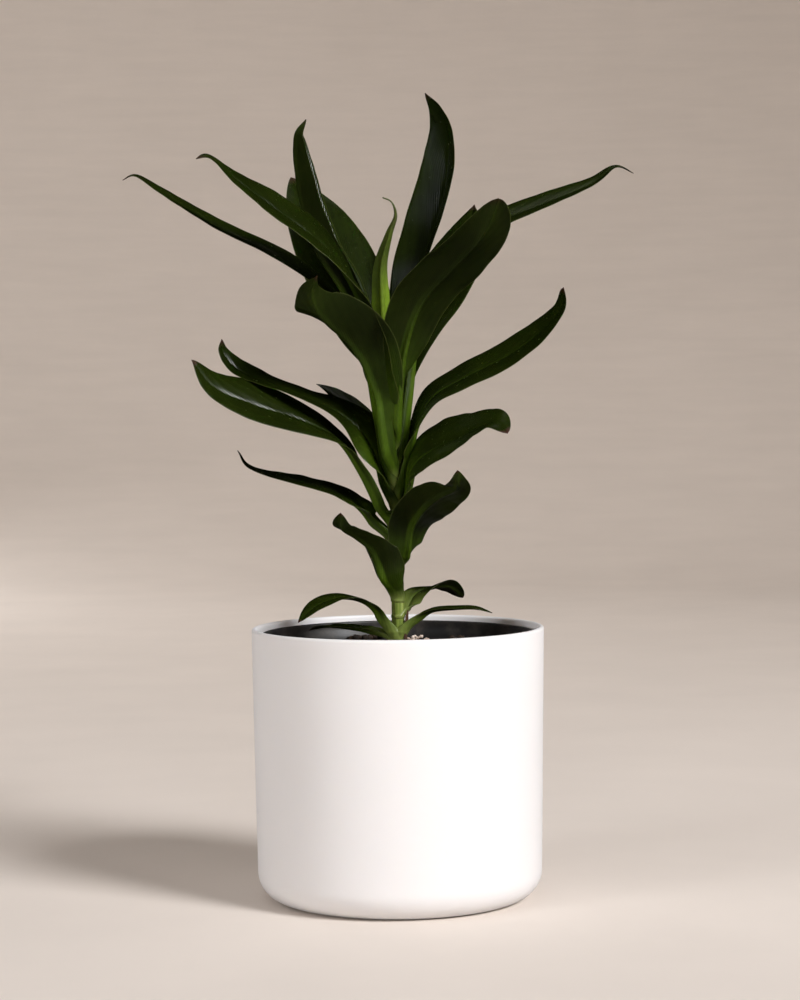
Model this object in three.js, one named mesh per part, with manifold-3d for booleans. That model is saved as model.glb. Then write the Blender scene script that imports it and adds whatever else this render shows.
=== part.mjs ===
// Potted cordyline: a young plant with a slim cane and arching leaves, in its black
// nursery pot, standing in a white moulded cover pot.
// Units are millimetres, +Z is up, the front of the plant faces -Y.
// The origin is the centre of the cover pot's flat base.

import * as THREE from 'three';
import { mergeVertices } from 'three/addons/utils/BufferGeometryUtils.js';
import Module from 'manifold-3d';

const wasm = await Module();
wasm.setup();

// ---- driving dimensions -------------------------------------------------

const GAP = 0.3; // clearance kept between neighbouring pieces

// white cover pot
const COVER_RADIUS = 70; // outside radius at the lip
const COVER_HEIGHT = 130;
const COVER_WALL = 2.6;
const COVER_FLOOR = 3;
const COVER_DRAFT = 0.0148; // radius lost per millimetre going down
const COVER_CORNER = 13.4; // radius of the rounded bottom edge
const COVER_LIP = 1.3; // rounding of the lip, half the wall
const COVER_SIDES = 56;

// black nursery pot
const NURSERY_RADIUS = 63.6; // outside radius of the body under the collar
const NURSERY_FOOT = 49; // outside radius at the foot
const NURSERY_HEIGHT = 124;
const NURSERY_WALL = 1.2;
const NURSERY_FLOOR = 1.6;
const COLLAR_HEIGHT = 9;
const COLLAR_DEPTH = 1.8; // how far the collar stands out from the body
const RIM_CHAMFER = 0.6;
const DRAIN_RADIUS = 4;
const DRAIN_RING = 33; // radius of the ring the drainage holes sit on
const DRAIN_COUNT = 8;
const DRAIN_SIDES = 12;
const NURSERY_SIDES = 36;

// potting soil
const SOIL_LEVEL = 117.6; // height of the soil surface above the base
const SOIL_MOUND = 3.2; // extra height next to the cane
const SOIL_BUMP = 0.54; // height of the crumbly unevenness
const SOIL_SHOULDER = 3; // drop from the surface to the rim of the soil
const SOIL_RINGS = [56, 48, 40, 32, 24, 17, 11, 7]; // radii that carry the unevenness
const MOUND_RADIUS = 14;
const SOIL_SIDES = 32;

// cane
const CANE_FOOT = 78; // lower end, buried in the soil
const CANE_TOP = 232;
const CANE_RADIUS = 3;
const CANE_TIP_RADIUS = 1.5;
const CANE_SIDES = 10;
const CANE_RINGS = 30;
const SCAR_STEP = 7.5; // distance between two leaf scars
const SCAR_RISE = 0.22;
const TAPER_START = 150; // height above which the cane narrows
const CANE_LEAN = 0.012; // sideways drift per millimetre of height
const CANE_SWAY = 0.5;
const SWAY_LENGTH = 40;
const CANE_END = 0.6; // how much the end rings shrink

// leaves
const LEAF_THICKNESS = 0.7;
const EDGE_THICKNESS = 0.35;
const KEEL_DEPTH = 0.9; // extra thickness of the midrib at the leaf base
const LEAF_STATIONS = 14;
const BASE_WIDTH = 7; // width of the clasping foot of an ordinary leaf
const TIP_WIDTH = 0.7;
const PETIOLE_FOLD = 15; // channel angle next to the midrib of the petiole
const PETIOLE_EDGE = 75; // channel angle at the edge of the petiole
const SWELL = 0.75; // how slowly an ordinary blade widens from its stalk
const TAPER = 0.8; // how slowly it narrows to its tip

// Leaves from the youngest down to the oldest. node is the height on the cane, heading
// the direction the leaf leans to (0 is +X, 90 is +Y), width the full width of the blade,
// petiole the width of the channelled stalk, blade the fraction of the length at which
// the blade begins, fold and edge the angles of the blade beside the midrib and at the
// margin, roll the turn about the midrib at even steps and rib the line of the midrib.
// swell and taper shape the blade's ends where a leaf differs from the ordinary one.
const LEAVES = {
  leaf_01: {
    node: 226, heading: -80, width: 12, petiole: 6, blade: 0.1, fold: 46, edge: 30, swell: 0.7,
    taper: 1.5, roll: [0, 0],
    rib: [[-2, -5, 246], [-5, -6, 268], [-6, -6, 288], [-6, -7, 302], [-2, -9, 317], [1, -10, 326],
      [-1, -11, 332], [-5, -11, 334]],
  },
  leaf_02: {
    node: 222, heading: 165, width: 29, petiole: 7, blade: 0.3, fold: 55, edge: 48, roll: [0, 9, 9, 8],
    rib: [[-6, 4, 243], [-13, 8, 270], [-25, 13, 292], [-37, 18, 311], [-44, 21, 331], [-47, 23, 348],
      [-48, 24, 362], [-47, 24, 369], [-42, 25, 375]],
  },
  leaf_03: {
    node: 218, heading: 40, width: 32, petiole: 8, blade: 0.28, fold: 35, edge: 25, roll: [0, 0],
    rib: [[3, 6, 243], [6, 10, 277], [12, 15, 301], [20, 23, 323], [25, 28, 341], [27, 33, 358],
      [26, 36, 372], [22, 38, 382], [16, 40, 389]],
  },
  leaf_04: {
    node: 214, heading: -60, width: 38, petiole: 9, blade: 0.26, fold: 27, edge: -20, taper: 0.62,
    roll: [0, 0],
    rib: [[1, -8, 234], [4, -14, 260], [12, -25, 283], [27, -40, 299], [38.5, -54, 310.5],
      [43.5, -62, 319], [47, -70, 328.5]],
  },
  leaf_05: {
    node: 211, heading: 110, width: 42, petiole: 8, blade: 0.28, fold: 20, edge: -8, roll: [0, 0],
    rib: [[-6, 10, 239], [-12, 17, 265], [-22, 27, 292], [-33, 39, 316], [-43, 49, 336], [-51, 56, 350]],
  },
  leaf_06: {
    node: 208, heading: 200, width: 42, petiole: 8, blade: 0.14, fold: 21, edge: -9, swell: 0.45,
    roll: [0, 8, -8, -30, -33, -25],
    rib: [[-8, -4, 236], [-12, -8, 266], [-18, -14, 289], [-31, -22, 309], [-55, -32, 328],
      [-74, -39, 342], [-85, -43, 351], [-90, -46, 350]],
  },
  leaf_07: {
    node: 206, heading: 8, width: 27, petiole: 8, blade: 0.3, fold: 21, edge: -6,
    roll: [0, 6, 12, 18, 18, 10],
    rib: [[6, 4, 239], [11, 8, 272], [24, 12, 303], [47, 16, 322], [73, 20, 333], [97, 24, 343],
      [109, 26, 351], [117, 27, 348]],
  },
  leaf_08: {
    node: 204, heading: 60, width: 36, petiole: 8, blade: 0.28, fold: 20, edge: -8, swell: 1.4,
    taper: 1.05, roll: [0, 0],
    rib: [[5, 9, 234], [6, 13, 252], [11, 19, 270], [21, 28, 289], [30, 36, 306], [36, 43, 321],
      [40, 50, 335]],
  },
  leaf_09: {
    node: 201, heading: -125, width: 40, petiole: 11, blade: 0.24, fold: 44, edge: 34, swell: 1,
    taper: 1.15, roll: [0, 0, -8, -6, 28, 45],
    rib: [[-6, -7, 220], [-9, -11, 241], [-15, -16, 256], [-22, -24, 266], [-30, -36, 273],
      [-36, -47, 280], [-38, -54, 288], [-35, -60, 295]],
  },
  leaf_10: {
    node: 198, heading: 178, width: 27, petiole: 8, blade: 0.3, fold: 21, edge: -6,
    roll: [0, -3, -9, -13, -13, -10],
    rib: [[-9, 0, 234], [-15, -1, 263], [-27, -2, 285], [-50, -3, 304], [-85, -5, 322], [-113, -7, 340],
      [-123, -8, 346], [-128, -8, 344]],
  },
  leaf_11: {
    node: 195, heading: 130, width: 16, petiole: 7, blade: 0.3, fold: 20, edge: 10, roll: [0, 0],
    rib: [[-8, 11, 211], [-13, 18, 223], [-21, 30, 234], [-31, 40, 242], [-39, 46, 247]],
  },
  leaf_12: {
    node: 191, heading: -2, width: 29, petiole: 9, blade: 0.16, fold: 12, edge: -4, swell: 0.5,
    taper: 0.5, roll: [0, 8, 22, 26, 26, 16],
    rib: [[6, 0, 210], [10, 0, 227], [18, -1, 240], [33, -2, 249], [55, -4, 260], [71, -6, 272],
      [79, -7, 282], [80, -8, 291]],
  },
  leaf_13: {
    node: 187, heading: 182, width: 31, petiole: 10, blade: 0.12, fold: 20, edge: -6, swell: 0.65,
    roll: [0, -30, -45, -20, -10, -12, -25, -40],
    rib: [[-8, 1, 207], [-14, 0, 221], [-26, -1, 232], [-43, -3, 240], [-63, -5, 248], [-76, -6, 255],
      [-82, -7, 263], [-82, -8, 268]],
  },
  leaf_14: {
    node: 183, heading: -30, width: 36, petiole: 12, blade: 0.04, fold: 20, edge: -8, swell: 0.26,
    taper: 0.6, roll: [22, 36, 42, 40, 36, 30],
    rib: [[6, -7, 198], [9, -11, 208], [19, -22, 216], [31, -36, 222], [41, -46, 227], [46, -51, 228],
      [51, -56, 223]],
  },
  leaf_15: {
    node: 176, heading: 195, width: 34, petiole: 9, blade: 0.3, fold: 20, edge: -8,
    roll: [0, -10, -28, -38, -40],
    rib: [[-10, -5, 192], [-17, -7, 206], [-27, -10, 220], [-43, -15, 229], [-66, -24, 237],
      [-85, -32, 246], [-94, -36, 258]],
  },
  leaf_16: {
    node: 169, heading: 176, width: 24, petiole: 9, blade: 0.2, fold: 18, edge: -6, swell: 0.35,
    roll: [0, -12, -10, -8, -5],
    rib: [[-10, 2, 178], [-17, 3, 187], [-26, 4, 193], [-44, 5, 199], [-61, 6, 203], [-72, 7, 208],
      [-76, 8, 215]],
  },
  leaf_17: {
    node: 159, heading: -32, width: 26, petiole: 12, blade: 0.04, fold: 20, edge: -8, swell: 0.45,
    taper: 0.75, roll: [0, -10, -30, -40, -34, -20],
    rib: [[5, -8, 168], [7, -12, 178], [12, -20, 186], [20, -31, 193], [27, -41, 197], [28, -48, 201],
      [28, -52, 206]],
  },
  leaf_18: {
    node: 144, heading: -130, width: 16, petiole: 24, blade: 0.45, fold: 25, edge: 10, bladeEnd: 0.8,
    roll: [0, 0],
    rib: [[-6, -9, 152], [-9, -12, 161], [-13, -16, 169], [-19, -21, 174], [-26, -27, 179],
      [-26, -30, 186]],
  },
  leaf_19: {
    node: 136, heading: 25, width: 14, petiole: 9, blade: 0.08, fold: 20, edge: -8, swell: 0.4,
    taper: 0.5, roll: [24, 28, 0, -30, -30],
    rib: [[6, 7, 141], [9, 10, 145], [16, 15, 147.5], [25, 19, 147.5], [32, 22, 142]],
  },
  leaf_20: {
    node: 124, heading: -8, width: 9, petiole: 6, blade: 0.3, fold: 20, edge: -5, roll: [0, 5, 5],
    rib: [[6, -2, 129], [10, -2, 134], [16, -3, 138], [27, -5, 139], [37, -7, 139], [45, -8, 137]],
  },
  leaf_21: {
    node: 122.5, heading: 140, width: 13, petiole: 7, blade: 0.3, fold: 20, edge: -5, roll: [0, 0],
    rib: [[-10, 7, 126], [-16, 9, 128], [-26, 12, 129], [-35, 16, 129], [-43, 20, 127]],
  },
  leaf_22: {
    node: 123, heading: 194, width: 13, petiole: 8, blade: 0.3, fold: 18, edge: -6,
    roll: [0, 0, 0, -20, -35],
    rib: [[-7, -2, 131], [-10, -4, 138], [-16, -6, 143], [-27, -9, 145], [-39, -13, 141], [-47, -16, 134]],
  },
};

// ---- small helpers ------------------------------------------------------

const radians = THREE.MathUtils.degToRad;
const smooth = THREE.MathUtils.smoothstep;
const lerp = THREE.MathUtils.lerp;

function material(name, color, roughness, metalness = 0) {
  return new THREE.MeshStandardMaterial({ name, color, roughness, metalness });
}

// a lathe turned about +Z instead of three.js' +Y
function lathe(points, sides) {
  return new THREE.LatheGeometry(points, sides).rotateX(Math.PI / 2);
}

function arc(path, centreX, centreY, radius, from, to, steps) {
  for (let i = 0; i <= steps; i += 1) {
    const angle = radians(lerp(from, to, i / steps));
    path.push(new THREE.Vector2(centreX + radius * Math.cos(angle), centreY + radius * Math.sin(angle)));
  }
}

function welded(geometry) {
  const bare = geometry.clone();
  bare.deleteAttribute('normal');
  bare.deleteAttribute('uv');
  return mergeVertices(bare, 1e-4);
}

function toManifold(geometry) {
  const mesh = welded(geometry);
  const vertProperties = new Float32Array(mesh.attributes.position.array);
  const triVerts = new Uint32Array(mesh.index.array);
  return new wasm.Manifold(new wasm.Mesh({ numProp: 3, vertProperties, triVerts }));
}

function fromManifold(solid) {
  const mesh = solid.getMesh();
  const geometry = new THREE.BufferGeometry();
  geometry.setAttribute('position', new THREE.BufferAttribute(new Float32Array(mesh.vertProperties), 3));
  geometry.setIndex(new THREE.BufferAttribute(new Uint32Array(mesh.triVerts), 1));
  return geometry;
}

// keeps the largest connected body of a cut mesh and drops the clippings
function largestBody(geometry) {
  const index = geometry.index.array;
  const parent = Array.from({ length: geometry.attributes.position.count }, (_, i) => i);
  const root = (i) => {
    let r = i;
    while (parent[r] !== r) r = parent[r];
    parent[i] = r;
    return r;
  };
  for (let i = 0; i < index.length; i += 3) {
    parent[root(index[i])] = root(index[i + 1]);
    parent[root(index[i + 1])] = root(index[i + 2]);
  }
  const counts = new Map();
  for (let i = 0; i < index.length; i += 3) {
    const r = root(index[i]);
    counts.set(r, (counts.get(r) ?? 0) + 1);
  }
  const winner = [...counts].sort((a, b) => b[1] - a[1])[0][0];
  const kept = [];
  for (let i = 0; i < index.length; i += 3) {
    if (root(index[i]) === winner) kept.push(index[i], index[i + 1], index[i + 2]);
  }
  geometry.setIndex(kept);
  return geometry.toNonIndexed();
}

// closed skin over a list of rings with the same number of points
function loft(rings) {
  const count = rings[0].length;
  const points = rings.flat();
  const faces = [];
  for (let i = 0; i < rings.length - 1; i += 1) {
    for (let j = 0; j < count; j += 1) {
      const a = i * count + j;
      const b = i * count + (j + 1) % count;
      faces.push(a, b, b + count, a, b + count, a + count);
    }
  }
  const last = (rings.length - 1) * count;
  for (let j = 1; j < count / 2; j += 1) {
    const k = count - j;
    faces.push(j - 1, k, j, last + j - 1, last + j, last + k);
    if (k - 1 > j) faces.push(j, k, k - 1, last + j, last + k - 1, last + k);
  }
  const geometry = new THREE.BufferGeometry().setFromPoints(points);
  geometry.setIndex(faces);
  return geometry;
}

// ---- pots ---------------------------------------------------------------

function coverRadius(height) {
  return COVER_RADIUS - COVER_DRAFT * (COVER_HEIGHT - height);
}

function coverPotGeometry() {
  const profile = [new THREE.Vector2(0, 0)];
  const cornerX = coverRadius(COVER_CORNER) - COVER_CORNER;
  arc(profile, cornerX, COVER_CORNER, COVER_CORNER, -90, 0, 6);
  arc(profile, COVER_RADIUS - COVER_LIP, COVER_HEIGHT - COVER_LIP, COVER_LIP, 0, 180, 4);
  const inner = COVER_CORNER - COVER_WALL;
  arc(profile, cornerX, COVER_FLOOR + inner, inner, 0, -90, 4);
  profile.push(new THREE.Vector2(0, COVER_FLOOR));
  return lathe(profile, COVER_SIDES);
}

function nurseryRadius(height) {
  return lerp(NURSERY_FOOT, NURSERY_RADIUS, height / NURSERY_HEIGHT);
}

function nurseryPotGeometry() {
  const bottom = COVER_FLOOR + GAP;
  const collar = NURSERY_HEIGHT - COLLAR_HEIGHT;
  const collarRadius = NURSERY_RADIUS + COLLAR_DEPTH;
  const outline = [
    [0, 0],
    [nurseryRadius(0), 0],
    [nurseryRadius(collar), collar],
    [collarRadius, collar + COLLAR_DEPTH],
    [collarRadius, NURSERY_HEIGHT - RIM_CHAMFER],
    [collarRadius - RIM_CHAMFER, NURSERY_HEIGHT],
    [NURSERY_RADIUS - NURSERY_WALL + RIM_CHAMFER, NURSERY_HEIGHT],
    [NURSERY_RADIUS - NURSERY_WALL, NURSERY_HEIGHT - RIM_CHAMFER],
    [nurseryRadius(collar) - NURSERY_WALL, collar],
    [nurseryRadius(NURSERY_FLOOR) - NURSERY_WALL, NURSERY_FLOOR],
    [0, NURSERY_FLOOR],
  ];
  const profile = outline.map(([x, y]) => new THREE.Vector2(x, y));
  let solid = toManifold(lathe(profile, NURSERY_SIDES));
  for (let i = 0; i < DRAIN_COUNT; i += 1) {
    const angle = (i / DRAIN_COUNT) * 2 * Math.PI;
    const depth = NURSERY_FLOOR * 3;
    const hole = new THREE.CylinderGeometry(DRAIN_RADIUS, DRAIN_RADIUS, depth, DRAIN_SIDES).rotateX(Math.PI / 2);
    hole.translate(DRAIN_RING * Math.cos(angle), DRAIN_RING * Math.sin(angle), NURSERY_FLOOR / 2);
    solid = solid.subtract(toManifold(hole));
  }
  return fromManifold(solid).translate(0, 0, bottom);
}

// ---- soil and cane ------------------------------------------------------

function caneRadius(z) {
  const upper = smooth(z, TAPER_START, CANE_TOP);
  const scar = Math.max(0, Math.cos((2 * Math.PI * z) / SCAR_STEP)) ** 6;
  return lerp(CANE_RADIUS, CANE_TIP_RADIUS, upper) + SCAR_RISE * scar * (1 - upper);
}

function caneCentre(z) {
  const rise = z - SOIL_LEVEL;
  return new THREE.Vector3(0.4 - CANE_LEAN * rise, CANE_SWAY * Math.sin(rise / SWAY_LENGTH), z);
}

function caneGeometry(extra = 0) {
  const rings = [];
  for (let i = 0; i < CANE_RINGS; i += 1) {
    const z = lerp(CANE_FOOT - extra, CANE_TOP + extra, i / (CANE_RINGS - 1));
    const end = i === 0 || i === CANE_RINGS - 1 ? CANE_END : 1;
    const radius = (caneRadius(z) + extra) * end;
    const centre = caneCentre(z);
    const ring = [];
    for (let j = 0; j < CANE_SIDES; j += 1) {
      const angle = (2 * Math.PI * j) / CANE_SIDES;
      ring.push(new THREE.Vector3(centre.x + radius * Math.cos(angle), centre.y + radius * Math.sin(angle), z));
    }
    rings.push(ring);
  }
  return loft(rings);
}

function soilHeight(x, y) {
  const distance = Math.hypot(x, y);
  const mound = SOIL_MOUND * Math.exp(-((distance / MOUND_RADIUS) ** 2));
  const waves = Math.sin(x * 0.31 + 1.3) * Math.cos(y * 0.27) + 0.6 * Math.sin(x * 0.12 - y * 0.44);
  return SOIL_LEVEL + mound + SOIL_BUMP * waves;
}

function soilGeometry() {
  const floor = COVER_FLOOR + GAP + NURSERY_FLOOR + GAP;
  const clearance = NURSERY_WALL + 2 * GAP;
  const base = COVER_FLOOR + GAP;
  const profile = [new THREE.Vector2(0, floor)];
  profile.push(new THREE.Vector2(nurseryRadius(floor - base) - clearance, floor));
  const rim = nurseryRadius(SOIL_LEVEL - SOIL_SHOULDER - base) - clearance;
  profile.push(new THREE.Vector2(rim, SOIL_LEVEL - SOIL_SHOULDER));
  [rim, ...SOIL_RINGS].forEach((radius) => profile.push(new THREE.Vector2(radius, SOIL_LEVEL)));
  const well = CANE_RADIUS + SCAR_RISE + 1;
  profile.push(new THREE.Vector2(well, SOIL_LEVEL));
  profile.push(new THREE.Vector2(well, CANE_FOOT - 1));
  profile.push(new THREE.Vector2(0, CANE_FOOT - 1));
  const geometry = lathe(profile, SOIL_SIDES);
  const position = geometry.attributes.position;
  for (let i = 0; i < position.count; i += 1) {
    if (Math.abs(position.getZ(i) - SOIL_LEVEL) < 0.01) {
      position.setZ(i, soilHeight(position.getX(i), position.getY(i)));
    }
  }
  return geometry;
}

// ---- leaves -------------------------------------------------------------

function headingVector(leaf) {
  return new THREE.Vector3(Math.cos(radians(leaf.heading)), Math.sin(radians(leaf.heading)), 0);
}

function midrib(leaf) {
  const foot = caneCentre(leaf.node);
  foot.addScaledVector(headingVector(leaf), caneRadius(leaf.node) + 2 * GAP);
  const points = [foot, ...leaf.rib.map((point) => new THREE.Vector3(...point))];
  return new THREE.CatmullRomCurve3(points, false, 'centripetal');
}

function rollAt(leaf, t) {
  const place = t * (leaf.roll.length - 1);
  const low = Math.min(Math.floor(place), leaf.roll.length - 2);
  return radians(lerp(leaf.roll[low], leaf.roll[low + 1], place - low));
}

// half of the leaf's width at a fraction t of its length
function halfWidth(leaf, t) {
  const stalk = lerp(BASE_WIDTH, leaf.petiole, smooth(t, 0, leaf.blade * 0.7)) / 2;
  const fade = 1 - smooth(t, leaf.blade, 1);
  const s = Math.max(0, (t - leaf.blade) / (1 - leaf.blade));
  const { swell = SWELL, taper = TAPER } = leaf;
  const peak = swell / (swell + taper);
  const fullness = (s ** swell * (1 - s) ** taper) / (peak ** swell * (1 - peak) ** taper);
  const blade = (leaf.width - leaf.petiole * fade) / 2;
  return Math.max(TIP_WIDTH / 2, stalk * fade + blade * fullness);
}

function sectionAngles(leaf, t) {
  const opened = smooth(t, leaf.blade * 0.6, leaf.bladeEnd ?? leaf.blade + 0.12);
  const fold = lerp(PETIOLE_FOLD, leaf.fold, opened);
  const edge = lerp(PETIOLE_EDGE, leaf.edge, opened);
  return [radians(fold), radians(edge)];
}

// one cross-section: the underside from margin to margin, then back along the upper face
function leafRing(leaf, curve, t, extra) {
  const centre = curve.getPointAt(t);
  const tangent = curve.getTangentAt(t);
  const across = new THREE.Vector3(0, 0, 1).cross(headingVector(leaf));
  across.addScaledVector(tangent, -across.dot(tangent)).normalize();
  const normal = tangent.clone().cross(across);
  const roll = rollAt(leaf, t);
  const side = across.clone().multiplyScalar(Math.cos(roll)).addScaledVector(normal, Math.sin(roll));
  const up = normal.clone().multiplyScalar(Math.cos(roll)).addScaledVector(across, -Math.sin(roll));
  const half = halfWidth(leaf, t) + extra;
  const [fold, edge] = sectionAngles(leaf, t);
  const bend = Math.abs(edge - fold) < 1e-3 ? 1e-3 : edge - fold;
  const top = [];
  const under = [];
  for (const u of [-1, -0.5, 0, 0.5, 1]) {
    const angle = fold + bend * Math.abs(u);
    const x = (Math.sign(u) * half * (Math.sin(angle) - Math.sin(fold))) / bend;
    const y = (half * (Math.cos(fold) - Math.cos(angle))) / bend;
    const face = new THREE.Vector3(-Math.sign(u) * Math.sin(angle), 0, u === 0 ? 1 : Math.cos(angle));
    const facing = side.clone().multiplyScalar(face.x).addScaledVector(up, face.z).normalize();
    const keel = u === 0 ? KEEL_DEPTH * (1 - t) : 0;
    const thickness = lerp(LEAF_THICKNESS, EDGE_THICKNESS, Math.abs(u)) * (1 - 0.5 * t) + keel;
    const point = centre.clone().addScaledVector(side, x).addScaledVector(up, y);
    top.push(point.clone().addScaledVector(facing, extra));
    under.push(point.clone().addScaledVector(facing, -thickness - extra));
  }
  return [...under, ...top.reverse()];
}

function leafGeometry(leaf, extra = 0) {
  const curve = midrib(leaf);
  const rings = [];
  for (let i = 0; i < LEAF_STATIONS; i += 1) {
    rings.push(leafRing(leaf, curve, i / (LEAF_STATIONS - 1), extra));
  }
  return loft(rings);
}

// ---- assembly -----------------------------------------------------------

const whitePlastic = material('matte_white_plastic', 0xf1ebe6, 0.5);
const blackPlastic = material('black_polypropylene', 0x2b2a2b, 0.55);
const soil = material('potting_soil', 0x33261d, 0.95);
const cane = material('green_cane', 0xa9bf5c, 0.45);
const greenLeaf = material('glossy_green_leaf', 0x2c3a12, 0.3);
const youngLeaf = material('young_leaf', 0x9fc234, 0.35);

const plant = new THREE.Group();
plant.name = 'potted_cordyline';

function addPiece(name, geometry, pieceMaterial) {
  const mesh = new THREE.Mesh(geometry, pieceMaterial.clone());
  mesh.name = name;
  plant.add(mesh);
}

addPiece('cover_pot', coverPotGeometry(), whitePlastic);
addPiece('nursery_pot', nurseryPotGeometry(), blackPlastic);
addPiece('potting_soil', soilGeometry(), soil);
addPiece('cane', caneGeometry(), cane);

// younger leaves are kept whole and older ones are cut clear of them and of the cane
const keepOut = [toManifold(caneGeometry(GAP)), toManifold(soilGeometry())];
for (const [name, leaf] of Object.entries(LEAVES)) {
  let solid = toManifold(leafGeometry(leaf));
  keepOut.forEach((other) => { solid = solid.subtract(other); });
  addPiece(name, largestBody(fromManifold(solid)), name === 'leaf_01' ? youngLeaf : greenLeaf);
  keepOut.push(toManifold(leafGeometry(leaf, GAP)));
}

export default plant;
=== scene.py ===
"""Potted cordyline: the looks of the plant, its two pots and its soil.

Every object is in metres in the row's frame; sizes below are in millimetres and are turned to
metres where a mesh is made.
"""

import math

import bmesh
import bpy
import numpy as np
from bpy.props import FloatProperty, FloatVectorProperty, IntProperty, PointerProperty
from mathutils import Matrix, Vector


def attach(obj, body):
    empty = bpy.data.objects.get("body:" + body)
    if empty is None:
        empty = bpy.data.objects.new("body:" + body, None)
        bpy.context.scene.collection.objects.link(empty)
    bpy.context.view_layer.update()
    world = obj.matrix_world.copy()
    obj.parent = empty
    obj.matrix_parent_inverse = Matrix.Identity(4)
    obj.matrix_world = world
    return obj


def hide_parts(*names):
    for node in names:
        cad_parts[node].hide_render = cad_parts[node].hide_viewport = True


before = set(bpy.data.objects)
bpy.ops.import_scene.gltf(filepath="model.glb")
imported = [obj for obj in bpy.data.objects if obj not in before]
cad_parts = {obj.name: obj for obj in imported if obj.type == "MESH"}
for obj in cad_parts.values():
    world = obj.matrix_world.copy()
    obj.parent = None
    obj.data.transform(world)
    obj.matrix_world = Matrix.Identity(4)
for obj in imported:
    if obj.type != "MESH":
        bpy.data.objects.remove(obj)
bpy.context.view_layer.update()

bl_info = {
    "name": "Potted Cordyline",
    "version": (1, 0, 0),
    "blender": (4, 5, 0),
    "location": "View3D > Sidebar > Cordyline",
    "description": "Builds a young cordyline in its nursery pot and white cover pot",
    "category": "Add Mesh",
}

MM = 0.001
SEED = 7

# studio: metres, degrees, and the lens in millimetres
COVE_FLAT = 2.0  # radius of the flat floor
COVE_BEND = 1.5  # radius of the skirt between floor and wall
COVE_TOP = 4.0
DAYLIGHT = (0.98, 0.985, 1.0)
LENS = 90.3
CAMERA_SIDE = 0.0017
CAMERA_TILT = 2.254  # below level
CAMERA_ROLL = -0.573

# white cover pot, in millimetres
COVER_DRAFT = 0.0148
COVER_CORNER = 13.4
COVER_LIP = 1.3

# black nursery pot
NURSERY_RADIUS = 63.6
NURSERY_FOOT = 49.0
NURSERY_HEIGHT = 124.0
COLLAR_HEIGHT = 9.0
COLLAR_DEPTH = 1.8
NURSERY_BASE = 3.3  # height of its foot above the table
NURSERY_FLOOR = 1.6

# soil and cane
SOIL_LEVEL = 117.6
SOIL_MOUND = 3.2
SOIL_BUMP = 0.9
SOIL_REACH = 59.0  # how far out loose lumps and fibres lie
CANE_FOOT = 78.0
CANE_TOP = 232.0
CANE_RADIUS = 3.0
CANE_TIP_RADIUS = 1.5
SCAR_STEP = 7.5

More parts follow.
